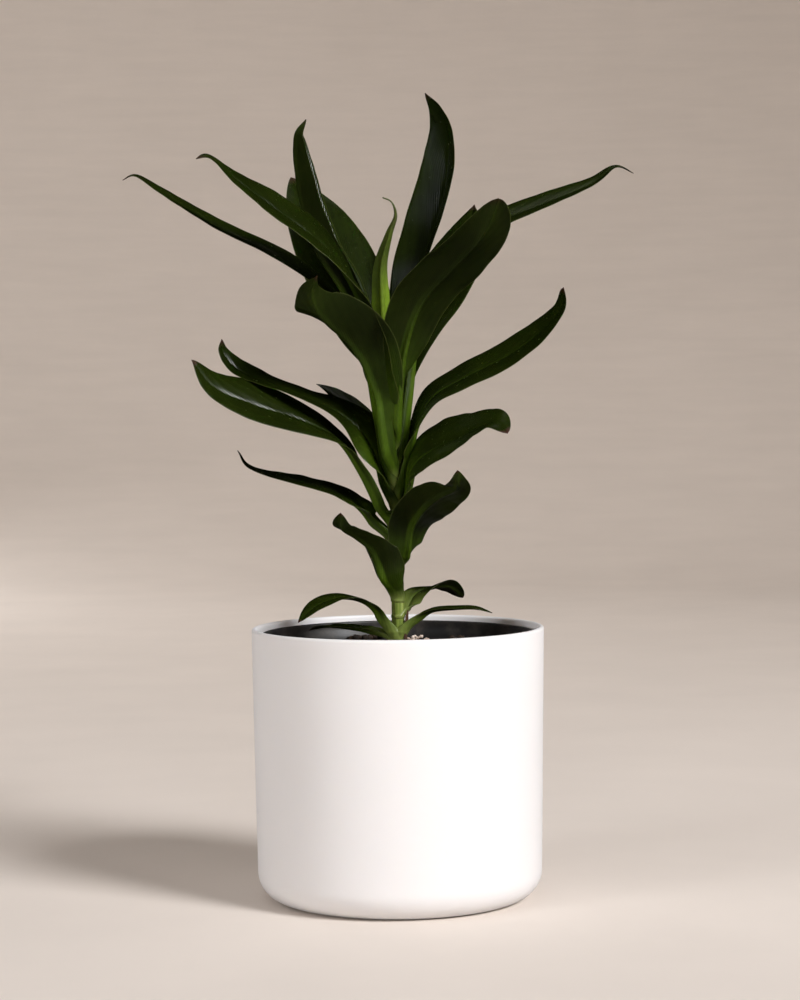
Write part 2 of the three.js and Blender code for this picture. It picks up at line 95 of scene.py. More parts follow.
# leaves: the same midribs and widths that the solids were made from, youngest first
BASE_WIDTH = 7.0
TIP_WIDTH = 0.5
PETIOLE_FOLD = 15.0
PETIOLE_EDGE = 75.0
LEAVES = {
    "leaf_01": dict(
        node=226, heading=-80, width=12, petiole=6, blade=0.1, fold=46, edge=30, low=0.7, high=1.5,
        age=0.0, stalk=(0.5, 0.8), roll=(0, 0),
        rib=((-2, -5, 246), (-5, -6, 268), (-6, -6, 288), (-6, -7, 302), (-2, -9, 317), (1, -10, 326),
             (-1, -11, 332), (-5, -11, 334))),
    "leaf_02": dict(
        node=222, heading=165, width=29, petiole=7, blade=0.3, fold=55, edge=48, age=0.2,
        roll=(0, 9, 9, 8),
        rib=((-6, 4, 243), (-13, 8, 270), (-25, 13, 292), (-37, 18, 311), (-44, 21, 331), (-47, 23, 348),
             (-48, 24, 362), (-47, 24, 369), (-42, 25, 375))),
    "leaf_03": dict(
        node=218, heading=40, width=32, petiole=8, blade=0.28, fold=35, edge=25, age=0.25, roll=(0, 0),
        rib=((3, 6, 243), (6, 10, 277), (12, 15, 301), (20, 23, 323), (25, 28, 341), (27, 33, 358),
             (26, 36, 372), (22, 38, 382), (16, 40, 389))),
    "leaf_04": dict(
        node=214, heading=-60, width=38, petiole=9, blade=0.26, fold=27, edge=-20, high=0.62, age=0.3,
        stalk=(0.2, 0.5), roll=(0, 0),
        rib=((1, -8, 234), (4, -14, 260), (12, -25, 283), (27, -40, 299), (38.5, -54, 310.5),
             (43.5, -62, 319), (47, -70, 328.5))),
    "leaf_05": dict(
        node=211, heading=110, width=42, petiole=8, blade=0.28, fold=20, edge=-8, age=0.35, roll=(0, 0),
        rib=((-6, 10, 239), (-12, 17, 265), (-22, 27, 292), (-33, 39, 316), (-43, 49, 336), (-51, 56, 350))),
    "leaf_06": dict(
        node=208, heading=200, width=42, petiole=8, blade=0.14, fold=21, edge=-9, low=0.45, age=0.4,
        roll=(0, 8, -8, -30, -33, -25),
        rib=((-8, -4, 236), (-12, -8, 266), (-18, -14, 289), (-31, -22, 309), (-55, -32, 328),
             (-74, -39, 342), (-85, -43, 351), (-90, -46, 350))),
    "leaf_07": dict(
        node=206, heading=8, width=27, petiole=8, blade=0.3, fold=21, edge=-6, age=0.4,
        roll=(0, 6, 12, 18, 18, 10),
        rib=((6, 4, 239), (11, 8, 272), (24, 12, 303), (47, 16, 322), (73, 20, 333), (97, 24, 343),
             (109, 26, 351), (117, 27, 348))),
    "leaf_08": dict(
        node=204, heading=60, width=36, petiole=8, blade=0.28, fold=20, edge=-8, low=1.4, high=1.05,
        age=0.45, roll=(0, 0),
        rib=((5, 9, 234), (6, 13, 252), (11, 19, 270), (21, 28, 289), (30, 36, 306), (36, 43, 321),
             (40, 50, 335))),
    "leaf_09": dict(
        node=201, heading=-125, width=40, petiole=11, blade=0.24, fold=44, edge=34, low=1, high=1.15,
        age=0.45, stalk=(0.42, 0.62), roll=(0, 0, -8, -6, 28, 45),
        rib=((-6, -7, 220), (-9, -11, 241), (-15, -16, 256), (-22, -24, 266), (-30, -36, 273),
             (-36, -47, 280), (-38, -54, 288), (-35, -60, 295))),
    "leaf_10": dict(
        node=198, heading=178, width=27, petiole=8, blade=0.3, fold=21, edge=-6, age=0.5,
        roll=(0, -3, -9, -13, -13, -10),
        rib=((-9, 0, 234), (-15, -1, 263), (-27, -2, 285), (-50, -3, 304), (-85, -5, 322),
             (-113, -7, 340), (-123, -8, 346), (-128, -8, 344))),
    "leaf_11": dict(
        node=195, heading=130, width=16, petiole=7, blade=0.3, fold=20, edge=10, age=0.5, roll=(0, 0),
        rib=((-8, 11, 211), (-13, 18, 223), (-21, 30, 234), (-31, 40, 242), (-39, 46, 247))),
    "leaf_12": dict(
        node=191, heading=-2, width=29, petiole=9, blade=0.16, fold=12, edge=-4, low=0.5, high=0.5,
        age=0.55, roll=(0, 8, 22, 26, 26, 16),
        rib=((6, 0, 210), (10, 0, 227), (18, -1, 240), (33, -2, 249), (55, -4, 260), (71, -6, 272),
             (79, -7, 282), (80, -8, 291))),
    "leaf_13": dict(
        node=187, heading=182, width=31, petiole=10, blade=0.12, fold=20, edge=-6, low=0.65, age=0.6,
        roll=(0, -30, -45, -20, -10, -12, -25, -40),
        rib=((-8, 1, 207), (-14, 0, 221), (-26, -1, 232), (-43, -3, 240), (-63, -5, 248), (-76, -6, 255),
             (-82, -7, 263), (-82, -8, 268))),
    "leaf_14": dict(
        node=183, heading=-30, width=36, petiole=12, blade=0.04, fold=20, edge=-8, low=0.26, high=0.6,
        age=0.65, sheath=9, roll=(22, 36, 42, 40, 36, 30),
        rib=((6, -7, 198), (9, -11, 208), (19, -22, 216), (31, -36, 222), (41, -46, 227), (46, -51, 228),
             (51, -56, 223))),
    "leaf_15": dict(
        node=176, heading=195, width=34, petiole=9, blade=0.3, fold=20, edge=-8, age=0.65,
        roll=(0, -10, -28, -38, -40),
        rib=((-10, -5, 192), (-17, -7, 206), (-27, -10, 220), (-43, -15, 229), (-66, -24, 237),
             (-85, -32, 246), (-94, -36, 258))),
    "leaf_16": dict(
        node=169, heading=176, width=24, petiole=9, blade=0.2, fold=18, edge=-6, low=0.35, age=0.7,
        roll=(0, -12, -10, -8, -5),
        rib=((-10, 2, 178), (-17, 3, 187), (-26, 4, 193), (-44, 5, 199), (-61, 6, 203), (-72, 7, 208),
             (-76, 8, 215))),
    "leaf_17": dict(
        node=159, heading=-32, width=26, petiole=12, blade=0.04, fold=20, edge=-8, low=0.45, high=0.75,
        age=0.75, sheath=9, roll=(0, -10, -30, -40, -34, -20),
        rib=((5, -8, 168), (7, -12, 178), (12, -20, 186), (20, -31, 193), (27, -41, 197), (28, -48, 201),
             (28, -52, 206))),
    "leaf_18": dict(
        node=144, heading=-130, width=16, petiole=24, blade=0.45, fold=25, edge=10, age=0.8,
        blade_end=0.8, roll=(0, 0),
        rib=((-6, -9, 152), (-9, -12, 161), (-13, -16, 169), (-19, -21, 174), (-26, -27, 179),
             (-26, -30, 186))),
    "leaf_19": dict(
        node=136, heading=25, width=14, petiole=9, blade=0.08, fold=20, edge=-8, low=0.4, high=0.5,
        age=1.0, sheath=7, roll=(24, 28, 0, -30, -30),
        rib=((6, 7, 141), (9, 10, 145), (16, 15, 147.5), (25, 19, 147.5), (32, 22, 142))),
    "leaf_20": dict(
        node=124, heading=-8, width=9, petiole=6, blade=0.3, fold=20, edge=-5, age=0.9, roll=(0, 5, 5),
        rib=((6, -2, 129), (10, -2, 134), (16, -3, 138), (27, -5, 139), (37, -7, 139), (45, -8, 137))),
    "leaf_21": dict(
        node=122.5, heading=140, width=13, petiole=7, blade=0.3, fold=20, edge=-5, age=0.9, roll=(0, 0),
        rib=((-10, 7, 126), (-16, 9, 128), (-26, 12, 129), (-35, 16, 129), (-43, 20, 127))),
    "leaf_22": dict(
        node=123, heading=194, width=13, petiole=8, blade=0.3, fold=18, edge=-6, age=0.9,
        roll=(0, 0, 0, -20, -35),
        rib=((-7, -2, 131), (-10, -4, 138), (-16, -6, 143), (-27, -9, 145), (-39, -13, 141),
             (-47, -16, 134))),
}


# ---- small helpers ------------------------------------------------------------------------------

def linear(hex_colour):
    """The linear RGBA of an sRGB hex colour such as "2c3a12"."""
    channels = [int(hex_colour[i:i + 2], 16) / 255 for i in (0, 2, 4)]
    return [c / 12.92 if c <= 0.04045 else ((c + 0.055) / 1.055) ** 2.4 for c in channels] + [1.0]


def smooth(x, low, high):
    x = np.clip((np.asarray(x, float) - low) / (high - low), 0, 1)
    return x * x * (3 - 2 * x)


def add_node(tree, kind, inputs=None, **settings):
    """Adds one shader node, sets its settings and fills its inputs with values or other sockets."""
    made = tree.nodes.new(kind)
    for key, value in settings.items():
        setattr(made, key, value)
    for key, value in (inputs or {}).items():
        if isinstance(value, bpy.types.NodeSocket):
            tree.links.new(value, made.inputs[key])
        else:
            made.inputs[key].default_value = value
    return made


def new_material(name, shader_inputs):
    """A material with one Principled BSDF whose sockets are filled from the dictionary."""
    material = bpy.data.materials.new(name)
    material.use_nodes = True
    tree = material.node_tree
    tree.nodes.clear()
    shader = add_node(tree, "ShaderNodeBsdfPrincipled", shader_inputs)
    output = add_node(tree, "ShaderNodeOutputMaterial")
    tree.links.new(shader.outputs["BSDF"], output.inputs["Surface"])
    return material, tree, shader


def new_piece(name, vertices, faces, material, node=None):
    """A smooth-shaded mesh object in metres that rides on the root and may stand for a CAD node."""
    mesh = bpy.data.meshes.new(name)
    mesh.from_pydata((np.asarray(vertices) * MM).tolist(), [], [list(map(int, f)) for f in faces])
    mesh.validate()
    mesh.shade_smooth()
    mesh.materials.append(material)
    piece = bpy.data.objects.new(name, mesh)
    bpy.context.scene.collection.objects.link(piece)
    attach(piece, "root")
    if node:
        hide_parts(node)
    return piece


def store(piece, name, values):
    """Keeps one number per point on the mesh for the material to read."""
    layer = piece.data.attributes.new(name, "FLOAT", "POINT")
    layer.data.foreach_set("value", np.asarray(values, np.float32).ravel())


def lathe(profile, sides):
    """Vertices and faces of a profile of (radius, height) turned about +Z, starting and ending on it."""
    profile = np.asarray(profile, float)
    angles = np.linspace(0, 2 * np.pi, sides, endpoint=False)
    inner = profile[1:-1]
    ring = np.stack([np.cos(angles), np.sin(angles)], -1)
    body = np.concatenate([
        inner[:, None, :1] * ring[None], np.broadcast_to(inner[:, None, 1:], (len(inner), sides, 1))], -1)
    vertices = np.vstack([[0, 0, profile[0, 1]], [0, 0, profile[-1, 1]], body.reshape(-1, 3)])
    faces = []
    last = 2 + (len(inner) - 1) * sides
    for j in range(sides):
        k = (j + 1) % sides
        faces.append((0, 2 + k, 2 + j))
        faces.append((1, last + j, last + k))
        for i in range(len(inner) - 1):
            a = 2 + i * sides
            faces.append((a + j, a + k, a + sides + k, a + sides + j))
    return vertices, faces


def arc(cx, cz, radius, start, end, steps):
    """Points of an arc in the (radius, height) plane, from start to end degrees."""
    return [(cx + radius * math.cos(math.radians(a)), cz + radius * math.sin(math.radians(a)))
            for a in np.linspace(start, end, steps + 1)]


def between_rings(rings, sides):
    """Quads that join each ring of points to the one after it."""
    faces = []
    for i in range(rings - 1):
        low, high = i * sides, (i + 1) * sides
        for j in range(sides):
            k = (j + 1) % sides
            faces.append((low + j, low + k, high + k, high + j))
    return faces


def capped_rings(rings, sides):
    """The same quads closed by a fan at each end, about the two points that follow the rings."""
    faces = between_rings(rings, sides)
    foot, tip, last = rings * sides, rings * sides + 1, (rings - 1) * sides
    for j in range(sides):
        k = (j + 1) % sides
        faces.append((foot, k, j))
        faces.append((tip, last + j, last + k))
    return faces


def tube(centres, radii, sides):
    """A closed tube round a line of centres that runs upwards; radii is one row of radii per centre."""
    angles = np.linspace(0, 2 * np.pi, sides, endpoint=False)
    ring = np.stack([np.cos(angles), np.sin(angles), np.zeros(sides)], -1)
    rings = centres[:, None, :] + radii[:, :, None] * ring[None]
    vertices = np.vstack([rings.reshape(-1, 3), centres[:1], centres[-1:]])
    count = len(centres)
    faces = between_rings(count, sides)
    foot, top = count * sides, count * sides + 1
    faces += [(foot, (j + 1) % sides, j) for j in range(sides)]
    faces += [(top, (count - 1) * sides + j, (count - 1) * sides + (j + 1) % sides) for j in range(sides)]
    return vertices, faces


# ---- materials ----------------------------------------------------------------------------------

def emboss(tree, shader, strength, depth, height):
    """Raises small bumps on a finish; depth is in metres."""
    bump = add_node(tree, "ShaderNodeBump", {"Strength": strength, "Distance": depth, "Height": height})
    tree.links.new(bump.outputs["Normal"], shader.inputs["Normal"])


def moulded_white_polypropylene(colour):
    """Matte white injection-moulded polypropylene: an even satin white with a fine spark-eroded grain."""
    material, tree, shader = new_material("white_polypropylene_moulded_matte", {
        "IOR": 1.49, "Roughness": 0.5, "Subsurface Weight": 0.08, "Subsurface Radius": (1.0, 0.8, 0.6),
        "Subsurface Scale": 0.002})
    place = add_node(tree, "ShaderNodeTexCoord").outputs["Object"]
    cloud = add_node(tree, "ShaderNodeTexNoise", {"Vector": place, "Scale": 18.0, "Detail": 3.0})
    tint = add_node(tree, "ShaderNodeMix", {"Factor": cloud.outputs["Fac"]}, data_type="RGBA")
    tint.inputs["A"].default_value = [c * 0.97 for c in colour[:3]] + [1]
    tint.inputs["B"].default_value = colour
    tree.links.new(tint.outputs["Result"], shader.inputs["Base Color"])
    # spark-eroded mould grain, about 0.5 mm between peaks
    grain = add_node(tree, "ShaderNodeTexNoise", {"Vector": place, "Scale": 2000.0, "Detail": 2.0})
    rough = add_node(tree, "ShaderNodeMapRange", {
        "Value": cloud.outputs["Fac"], "To Min": 0.44, "To Max": 0.56})
    tree.links.new(rough.outputs["Result"], shader.inputs["Roughness"])
    emboss(tree, shader, 0.12, 0.0002, grain.outputs["Fac"])
    return material


def moulded_black_polypropylene(colour):
    """Black recycled polypropylene, thin-wall moulded: satin charcoal with dried splash marks and dust."""
    material, tree, shader = new_material("black_polypropylene_thin_moulded", {"IOR": 1.49})
    place = add_node(tree, "ShaderNodeTexCoord").outputs["Object"]
    dust = add_node(tree, "ShaderNodeTexNoise", {
        "Vector": place, "Scale": 60.0, "Detail": 6.0, "Roughness": 0.7})
    specks = add_node(tree, "ShaderNodeTexVoronoi", {"Vector": place, "Scale": 260.0})
    speck = add_node(tree, "ShaderNodeMapRange", {
        "Value": specks.outputs["Distance"], "From Min": 0.05, "From Max": 0.16,
        "To Min": 0.55, "To Max": 0.0})
    film = add_node(tree, "ShaderNodeMapRange", {
        "Value": dust.outputs["Fac"], "From Min": 0.45, "From Max": 0.8, "To Min": 0.0, "To Max": 0.5})
    mask = add_node(tree, "ShaderNodeMath", {
        0: speck.outputs["Result"], 1: film.outputs["Result"]}, operation="MULTIPLY")
    both = add_node(tree, "ShaderNodeMath", {
        0: mask.outputs["Value"], 1: film.outputs["Result"]}, operation="ADD")
    tint = add_node(tree, "ShaderNodeMix", {"Factor": both.outputs["Value"]}, data_type="RGBA")
    tint.inputs["A"].default_value = colour
    tint.inputs["B"].default_value = linear("6b6157")
    tree.links.new(tint.outputs["Result"], shader.inputs["Base Color"])
    rough = add_node(tree, "ShaderNodeMapRange", {
        "Value": dust.outputs["Fac"], "To Min": 0.32, "To Max": 0.6})
    tree.links.new(rough.outputs["Result"], shader.inputs["Roughness"])
    emboss(tree, shader, 0.2, 0.0002, dust.outputs["Fac"])
    return material


def damp_peat(colour):
    """Peat and bark compost: near-black brown crumbs, matte, with paler dry fibres."""
    material, tree, shader = new_material("peat_compost_damp", {"IOR": 1.4, "Roughness": 0.92})
    place = add_node(tree, "ShaderNodeTexCoord").outputs["Object"]
    crumb = add_node(tree, "ShaderNodeTexNoise", {
        "Vector": place, "Scale": 420.0, "Detail": 6.0, "Roughness": 0.7})
    patch = add_node(tree, "ShaderNodeTexNoise", {"Vector": place, "Scale": 70.0, "Detail": 2.0})
    ramp = add_node(tree, "ShaderNodeValToRGB", {"Fac": crumb.outputs["Fac"]})
    stops = ramp.color_ramp.elements
    stops[0].position = 0.3
    stops[0].color = [c * 0.35 for c in colour[:3]] + [1]
    stops[1].position = 0.72
    stops[1].color = linear("5b4531")
    stops.new(0.55).color = colour
    shade = add_node(tree, "ShaderNodeMapRange", {
        "Value": patch.outputs["Fac"], "To Min": 0.55, "To Max": 1.3})
    tint = add_node(tree, "ShaderNodeMix", {"Factor": 1.0}, data_type="RGBA", blend_type="MULTIPLY")
    tree.links.new(ramp.outputs["Color"], tint.inputs["A"])
    tree.links.new(shade.outputs["Result"], tint.inputs["B"])
    tree.links.new(tint.outputs["Result"], shader.inputs["Base Color"])
    emboss(tree, shader, 0.8, 0.0008, crumb.outputs["Fac"])
    return material


def crumb_material(name, dark, light, roughness):
    """Loose lumps on the soil: bark and peat are matte brown, fertiliser and perlite grains pale."""
    material, tree, shader = new_material(name, {"IOR": 1.45, "Roughness": roughness})
    place = add_node(tree, "ShaderNodeTexCoord").outputs["Object"]
    grain = add_node(tree, "ShaderNodeTexNoise", {"Vector": place, "Scale": 900.0, "Detail": 4.0})
    lump = add_node(tree, "ShaderNodeTexNoise", {"Vector": place, "Scale": 160.0, "Detail": 1.0})
    mixed = add_node(tree, "ShaderNodeMath", {
        0: grain.outputs["Fac"], 1: lump.outputs["Fac"]}, operation="MULTIPLY")
    spread = add_node(tree, "ShaderNodeMapRange", {
        "Value": mixed.outputs["Value"], "From Min": 0.12, "From Max": 0.42})
    tint = add_node(tree, "ShaderNodeMix", {"Factor": spread.outputs["Result"]}, data_type="RGBA")
    tint.inputs["A"].default_value = linear(dark)
    tint.inputs["B"].default_value = linear(light)
    tree.links.new(tint.outputs["Result"], shader.inputs["Base Color"])
    emboss(tree, shader, 0.5, 0.0004, grain.outputs["Fac"])
    return material


def cane_skin(colour):
    """Living cordyline cane: smooth yellow-green skin with pale lengthwise streaks and brown leaf scars."""
    material, tree, shader = new_material("cordyline_cane_skin", {
        "IOR": 1.42, "Roughness": 0.42, "Subsurface Weight": 0.12, "Subsurface Radius": (0.6, 1.0, 0.3),
        "Subsurface Scale": 0.002})
    place = add_node(tree, "ShaderNodeTexCoord").outputs["Object"]
    stretched = add_node(tree, "ShaderNodeMapping", {"Vector": place, "Scale": (900.0, 900.0, 60.0)})
    streak = add_node(tree, "ShaderNodeTexNoise", {
        "Vector": stretched.outputs["Vector"], "Scale": 1.0, "Detail": 3.0})
    ramp = add_node(tree, "ShaderNodeValToRGB", {"Fac": streak.outputs["Fac"]})
    stops = ramp.color_ramp.elements
    stops[0].position = 0.32
    stops[0].color = linear("65782f")
    stops[1].position = 0.7
    stops[1].color = linear("a5b266")
    stops.new(0.5).color = colour
    scar = add_node(tree, "ShaderNodeAttribute", attribute_name="scar")
    tint = add_node(tree, "ShaderNodeMix", {"Factor": scar.outputs["Fac"]}, data_type="RGBA")
    tree.links.new(ramp.outputs["Color"], tint.inputs["A"])
    tint.inputs["B"].default_value = linear("4b4a22")
    tree.links.new(tint.outputs["Result"], shader.inputs["Base Color"])
    emboss(tree, shader, 0.3, 0.0003, streak.outputs["Fac"])
    return material


def dry_sheath_skin():
    """Dead leaf base: papery tan to dark brown, dry and fibrous."""
    material, tree, shader = new_material("dry_leaf_sheath", {"IOR": 1.4, "Roughness": 0.8})
    place = add_node(tree, "ShaderNodeTexCoord").outputs["Object"]
    stretched = add_node(tree, "ShaderNodeMapping", {"Vector": place, "Scale": (1500.0, 1500.0, 160.0)})
    fibre = add_node(tree, "ShaderNodeTexNoise", {
        "Vector": stretched.outputs["Vector"], "Scale": 1.0, "Detail": 4.0})
    ramp = add_node(tree, "ShaderNodeValToRGB", {"Fac": fibre.outputs["Fac"]})
    stops = ramp.color_ramp.elements
    stops[0].position = 0.35
    stops[0].color = linear("1d130d")
    stops[1].position = 0.75
    stops[1].color = linear("6b4c36")
    tree.links.new(ramp.outputs["Color"], shader.inputs["Base Color"])
    emboss(tree, shader, 0.6, 0.0003, fibre.outputs["Fac"])
    return material


def leaf_skin(name, blade, stalk, under, rib, tip, foot, dry_from=0.985):
    """Waxy cordyline leaf: glossy above, dull and paler below, with a pale midrib and fine slanted veins."""
    material, tree, shader = new_material(name, {
        "IOR": 1.45, "Subsurface Weight": 0.06, "Subsurface Radius": (0.4, 1.0, 0.2),
        "Subsurface Scale": 0.001,
        "Specular IOR Level": 0.35})
    place = add_node(tree, "ShaderNodeTexCoord").outputs["Object"]
    read = {key: add_node(tree, "ShaderNodeAttribute", attribute_name=key).outputs["Fac"]
            for key in ("across", "along", "across_mm", "along_mm", "side", "age", "stalk", "pale")}

    def maths(operation, a, b=0.0, c=0.0):
        return add_node(tree, "ShaderNodeMath", {0: a, 1: b, 2: c}, operation=operation).outputs["Value"]

    def spread(value, low, high, to_low=0.0, to_high=1.0):
        made = add_node(tree, "ShaderNodeMapRange", {
            "Value": value, "From Min": low, "From Max": high, "To Min": to_low, "To Max": to_high},
            interpolation_type="SMOOTHSTEP")
        return made.outputs["Result"]

    def mix(factor, a, b, blend="MIX"):
        made = add_node(tree, "ShaderNodeMix", data_type="RGBA", blend_type=blend)
        for key, value in (("Factor", factor), ("A", a), ("B", b)):
            if isinstance(value, bpy.types.NodeSocket):
                tree.links.new(value, made.inputs[key])
            else:
                made.inputs[key].default_value = value
        return made.outputs["Result"]

    distance = maths("ABSOLUTE", read["across_mm"])
    edge = maths("ABSOLUTE", read["across"])
    cloud = add_node(tree, "ShaderNodeTexNoise", {
        "Vector": place, "Scale": 45.0, "Detail": 3.0}).outputs["Fac"]
    mottle = add_node(tree, "ShaderNodeTexNoise", {
        "Vector": place, "Scale": 420.0, "Detail": 3.0}).outputs["Fac"]
    # side veins leave the midrib at about 14 degrees and lie 0.9 mm apart
    slant = maths("SUBTRACT", maths("MULTIPLY", distance, 0.97), maths("MULTIPLY", read["along_mm"], 0.24))
    wander = maths("MULTIPLY_ADD", cloud, 1.6, slant)
    veins = maths("SINE", maths("MULTIPLY", wander, 2 * math.pi / 0.9))
    bands = maths("SINE", maths("MULTIPLY", wander, 2 * math.pi / 4.3))

    stalk_mask = read["stalk"]
    colour = mix(stalk_mask, linear(blade), linear(stalk))
    colour = mix(maths("MULTIPLY", read["side"], maths("SUBTRACT", 1.0, maths("MULTIPLY", stalk_mask, 0.7))),
                 colour, linear(under))
    from_keel = maths("SUBTRACT", distance, maths("MULTIPLY", read["side"], 1.3))
    rib_mask = maths("MULTIPLY", spread(from_keel, 0.3, 1.3, 1.0, 0.0),
                     spread(read["along"], 0.2, 0.62, 0.85, 0.06))
    rib_mask = maths("MULTIPLY", rib_mask, maths("MULTIPLY_ADD", read["side"], 0.5, 0.5))
    colour = mix(rib_mask, colour, linear(rib))
    colour = mix(read["pale"], colour, linear(foot))
    shade = spread(cloud, 0.3, 0.7, 0.82, 1.2)
    shade = maths("MULTIPLY", shade, spread(mottle, 0.3, 0.7, 0.93, 1.07))
    shade = maths("MULTIPLY", shade, maths("MULTIPLY_ADD", veins, 0.05, 1.0))
    shade = maths("MULTIPLY", shade, maths("MULTIPLY_ADD", bands, 0.06, 1.0))
    colour = mix(1.0, colour, shade, "MULTIPLY")
    # thin paler rim along the leaf edge: partly the leaf's own edge colour, partly a painted highlight
    # standing in for the thin glints along the margins
    margin = spread(edge, 0.97, 0.998, 0.0, 0.35)
    colour = mix(margin, colour, linear("5f6434"))
    tip_edge = maths("MULTIPLY_ADD", mottle, 0.03, read["along"])
    dry = maths("MULTIPLY", spread(tip_edge, dry_from, dry_from + 0.03),
                spread(read["age"], 0.15, 0.6, 0.35, 1.0))
    colour = mix(dry, colour, linear(tip))
    tree.links.new(colour, shader.inputs["Base Color"])

    gloss = mix(read["side"], [0.25] * 3 + [1], [0.34] * 3 + [1])
    gloss = mix(dry, gloss, [0.75] * 3 + [1])
    rough = maths("MULTIPLY_ADD", mottle, 0.12, maths("SUBTRACT", gloss, 0.06))
    tree.links.new(rough, shader.inputs["Roughness"])
    height = maths("ADD", maths("MULTIPLY", veins, 0.5), maths("MULTIPLY", cloud, 2.0))
    emboss(tree, shader, 0.35, 0.00012, height)
    return material


def studio_paper(colour):
    """Seamless studio paper: matte, very faintly clouded and streaked, with a fine tooth."""
    material, tree, shader = new_material("seamless_studio_paper", {
        "IOR": 1.4, "Roughness": 0.85, "Specular IOR Level": 0.2})
    place = add_node(tree, "ShaderNodeTexCoord").outputs["Object"]
    cloud = add_node(tree, "ShaderNodeTexNoise", {
        "Vector": place, "Scale": 6.0, "Detail": 5.0, "Roughness": 0.6})
    weave = add_node(tree, "ShaderNodeMapping", {"Vector": place, "Scale": (8.0, 8.0, 70.0)})
    streak = add_node(tree, "ShaderNodeTexNoise", {
        "Vector": weave.outputs["Vector"], "Scale": 1.0, "Detail": 3.0})
    both = add_node(tree, "ShaderNodeMath", {
        0: cloud.outputs["Fac"], 1: streak.outputs["Fac"]}, operation="ADD")
    shade = add_node(tree, "ShaderNodeMapRange", {
        "Value": both.outputs["Value"], "From Min": 0.6, "From Max": 1.4, "To Min": 0.965, "To Max": 1.035})
    tint = add_node(tree, "ShaderNodeMix", {"Factor": 1.0}, data_type="RGBA", blend_type="MULTIPLY")
    tint.inputs["A"].default_value = colour
    tree.links.new(shade.outputs["Result"], tint.inputs["B"])
    tree.links.new(tint.outputs["Result"], shader.inputs["Base Color"])
    tooth = add_node(tree, "ShaderNodeTexNoise", {"Vector": place, "Scale": 700.0, "Detail": 2.0})
    emboss(tree, shader, 0.05, 0.0002, tooth.outputs["Fac"])
    return material


# ---- pots ---------------------------------------------------------------------------------------

def cover_profile(settings):
    """Half outline of the cover pot: flat base, round bottom edge, drafted wall, rounded lip, inside."""
    radius, height = settings.cover_diameter / 2 / MM, settings.cover_height / MM
    wall, floor = settings.cover_wall / MM, settings.cover_floor / MM
    corner = radius - COVER_DRAFT * (height - COVER_CORNER) - COVER_CORNER
    inner = COVER_CORNER - wall
    points = [(0, 0), (corner * 0.5, 0), (corner * 0.9, 0)]
    points += arc(corner, COVER_CORNER, COVER_CORNER, -90, 0, 20)
    outside, top = radius - COVER_LIP, height - COVER_LIP
    low, high = points[-1], (radius, top)
    points += [(np.interp(f, (0, 1), (low[0], high[0])), np.interp(f, (0, 1), (low[1], high[1])))
               for f in (0.01, 0.1, 0.3, 0.5, 0.7, 0.9, 0.985)]
    points += arc(outside, top, COVER_LIP, 0, 180, 12)
    low, high = points[-1], (corner + inner, floor + inner)
    points += [(np.interp(f, (0, 1), (low[0], high[0])), np.interp(f, (0, 1), (low[1], high[1])))
               for f in (0.015, 0.3, 0.6, 0.97)]
    points += arc(corner, floor + inner, inner, 0, -90, 12)
    return points + [(corner * 0.5, floor), (0, floor)]


def nursery_radius(height):
    return NURSERY_FOOT + (NURSERY_RADIUS - NURSERY_FOOT) * height / NURSERY_HEIGHT


def nursery_profile(wall):
    """Half outline of the nursery pot with its stepped collar, rounded rim and moulded ridges inside."""
    collar = NURSERY_HEIGHT - COLLAR_HEIGHT
    outer = NURSERY_RADIUS + COLLAR_DEPTH
    points = [(0, 0), (28, 0), (38, 0), (nursery_radius(0) - 1, 0)]
    points += arc(nursery_radius(0) - 1, 1, 1, -80, 0, 4)
    points += [(nursery_radius(h), h) for h in np.linspace(3, collar - 0.6, 12)]
    points += [(nursery_radius(collar) + 0.3, collar - 0.1), (outer - 0.5, collar + 1.2)]
    points += [(outer - 0.1, collar + 1.7), (outer, collar + 2.4), (outer, NURSERY_HEIGHT - 1.0)]
    points += arc(outer - 0.8, NURSERY_HEIGHT - 0.8, 0.8, 10, 90, 4)
    rim_inside = NURSERY_RADIUS - wall
    points += arc(rim_inside + 0.8, NURSERY_HEIGHT - 0.8, 0.8, 90, 175, 4)
    inside = nursery_radius(collar) - wall
    points += [(rim_inside + 0.15, NURSERY_HEIGHT - 2), (rim_inside - 0.05, NURSERY_HEIGHT - 4.4)]
    points += [(rim_inside - 0.35, NURSERY_HEIGHT - 4.8), (inside + 0.1, collar + 0.8), (inside, collar)]
    points += [(nursery_radius(h) - wall, h) for h in np.linspace(collar - 2, NURSERY_FLOOR + 2, 10)]
    points += arc(nursery_radius(0) - wall - 1.6, NURSERY_FLOOR + 1.6, 1.6, -10, -90, 3)
    return [(r, z + NURSERY_BASE) for r, z in points + [(28, NURSERY_FLOOR), (0, NURSERY_FLOOR)]]


def cut_drain_holes(piece, count, ring, radius):
    """Cuts round drainage holes through the floor of a pot with applied booleans."""
    cutter_mesh = bmesh.new()
    for i in range(count):
        angle = 2 * math.pi * i / count
        spot = Matrix.Translation((ring * math.cos(angle), ring * math.sin(angle), NURSERY_BASE * MM))
        bmesh.ops.create_cone(cutter_mesh, cap_ends=True, segments=28, radius1=radius, radius2=radius,
                              depth=6 * NURSERY_FLOOR * MM, matrix=spot)
    data = bpy.data.meshes.new("cutter")
    cutter_mesh.to_mesh(data)
    cutter_mesh.free()
    cutter = bpy.data.objects.new("cutter", data)
    bpy.context.scene.collection.objects.link(cutter)
    cut = piece.modifiers.new("holes", "BOOLEAN")
    cut.object = cutter
    cut.solver = "EXACT"
    bpy.context.view_layer.update()
    result = bpy.data.meshes.new_from_object(piece.evaluated_get(bpy.context.evaluated_depsgraph_get()))
    piece.modifiers.clear()
    piece.data = result
    bpy.data.objects.remove(cutter)


# ---- soil ---------------------------------------------------------------------------------------

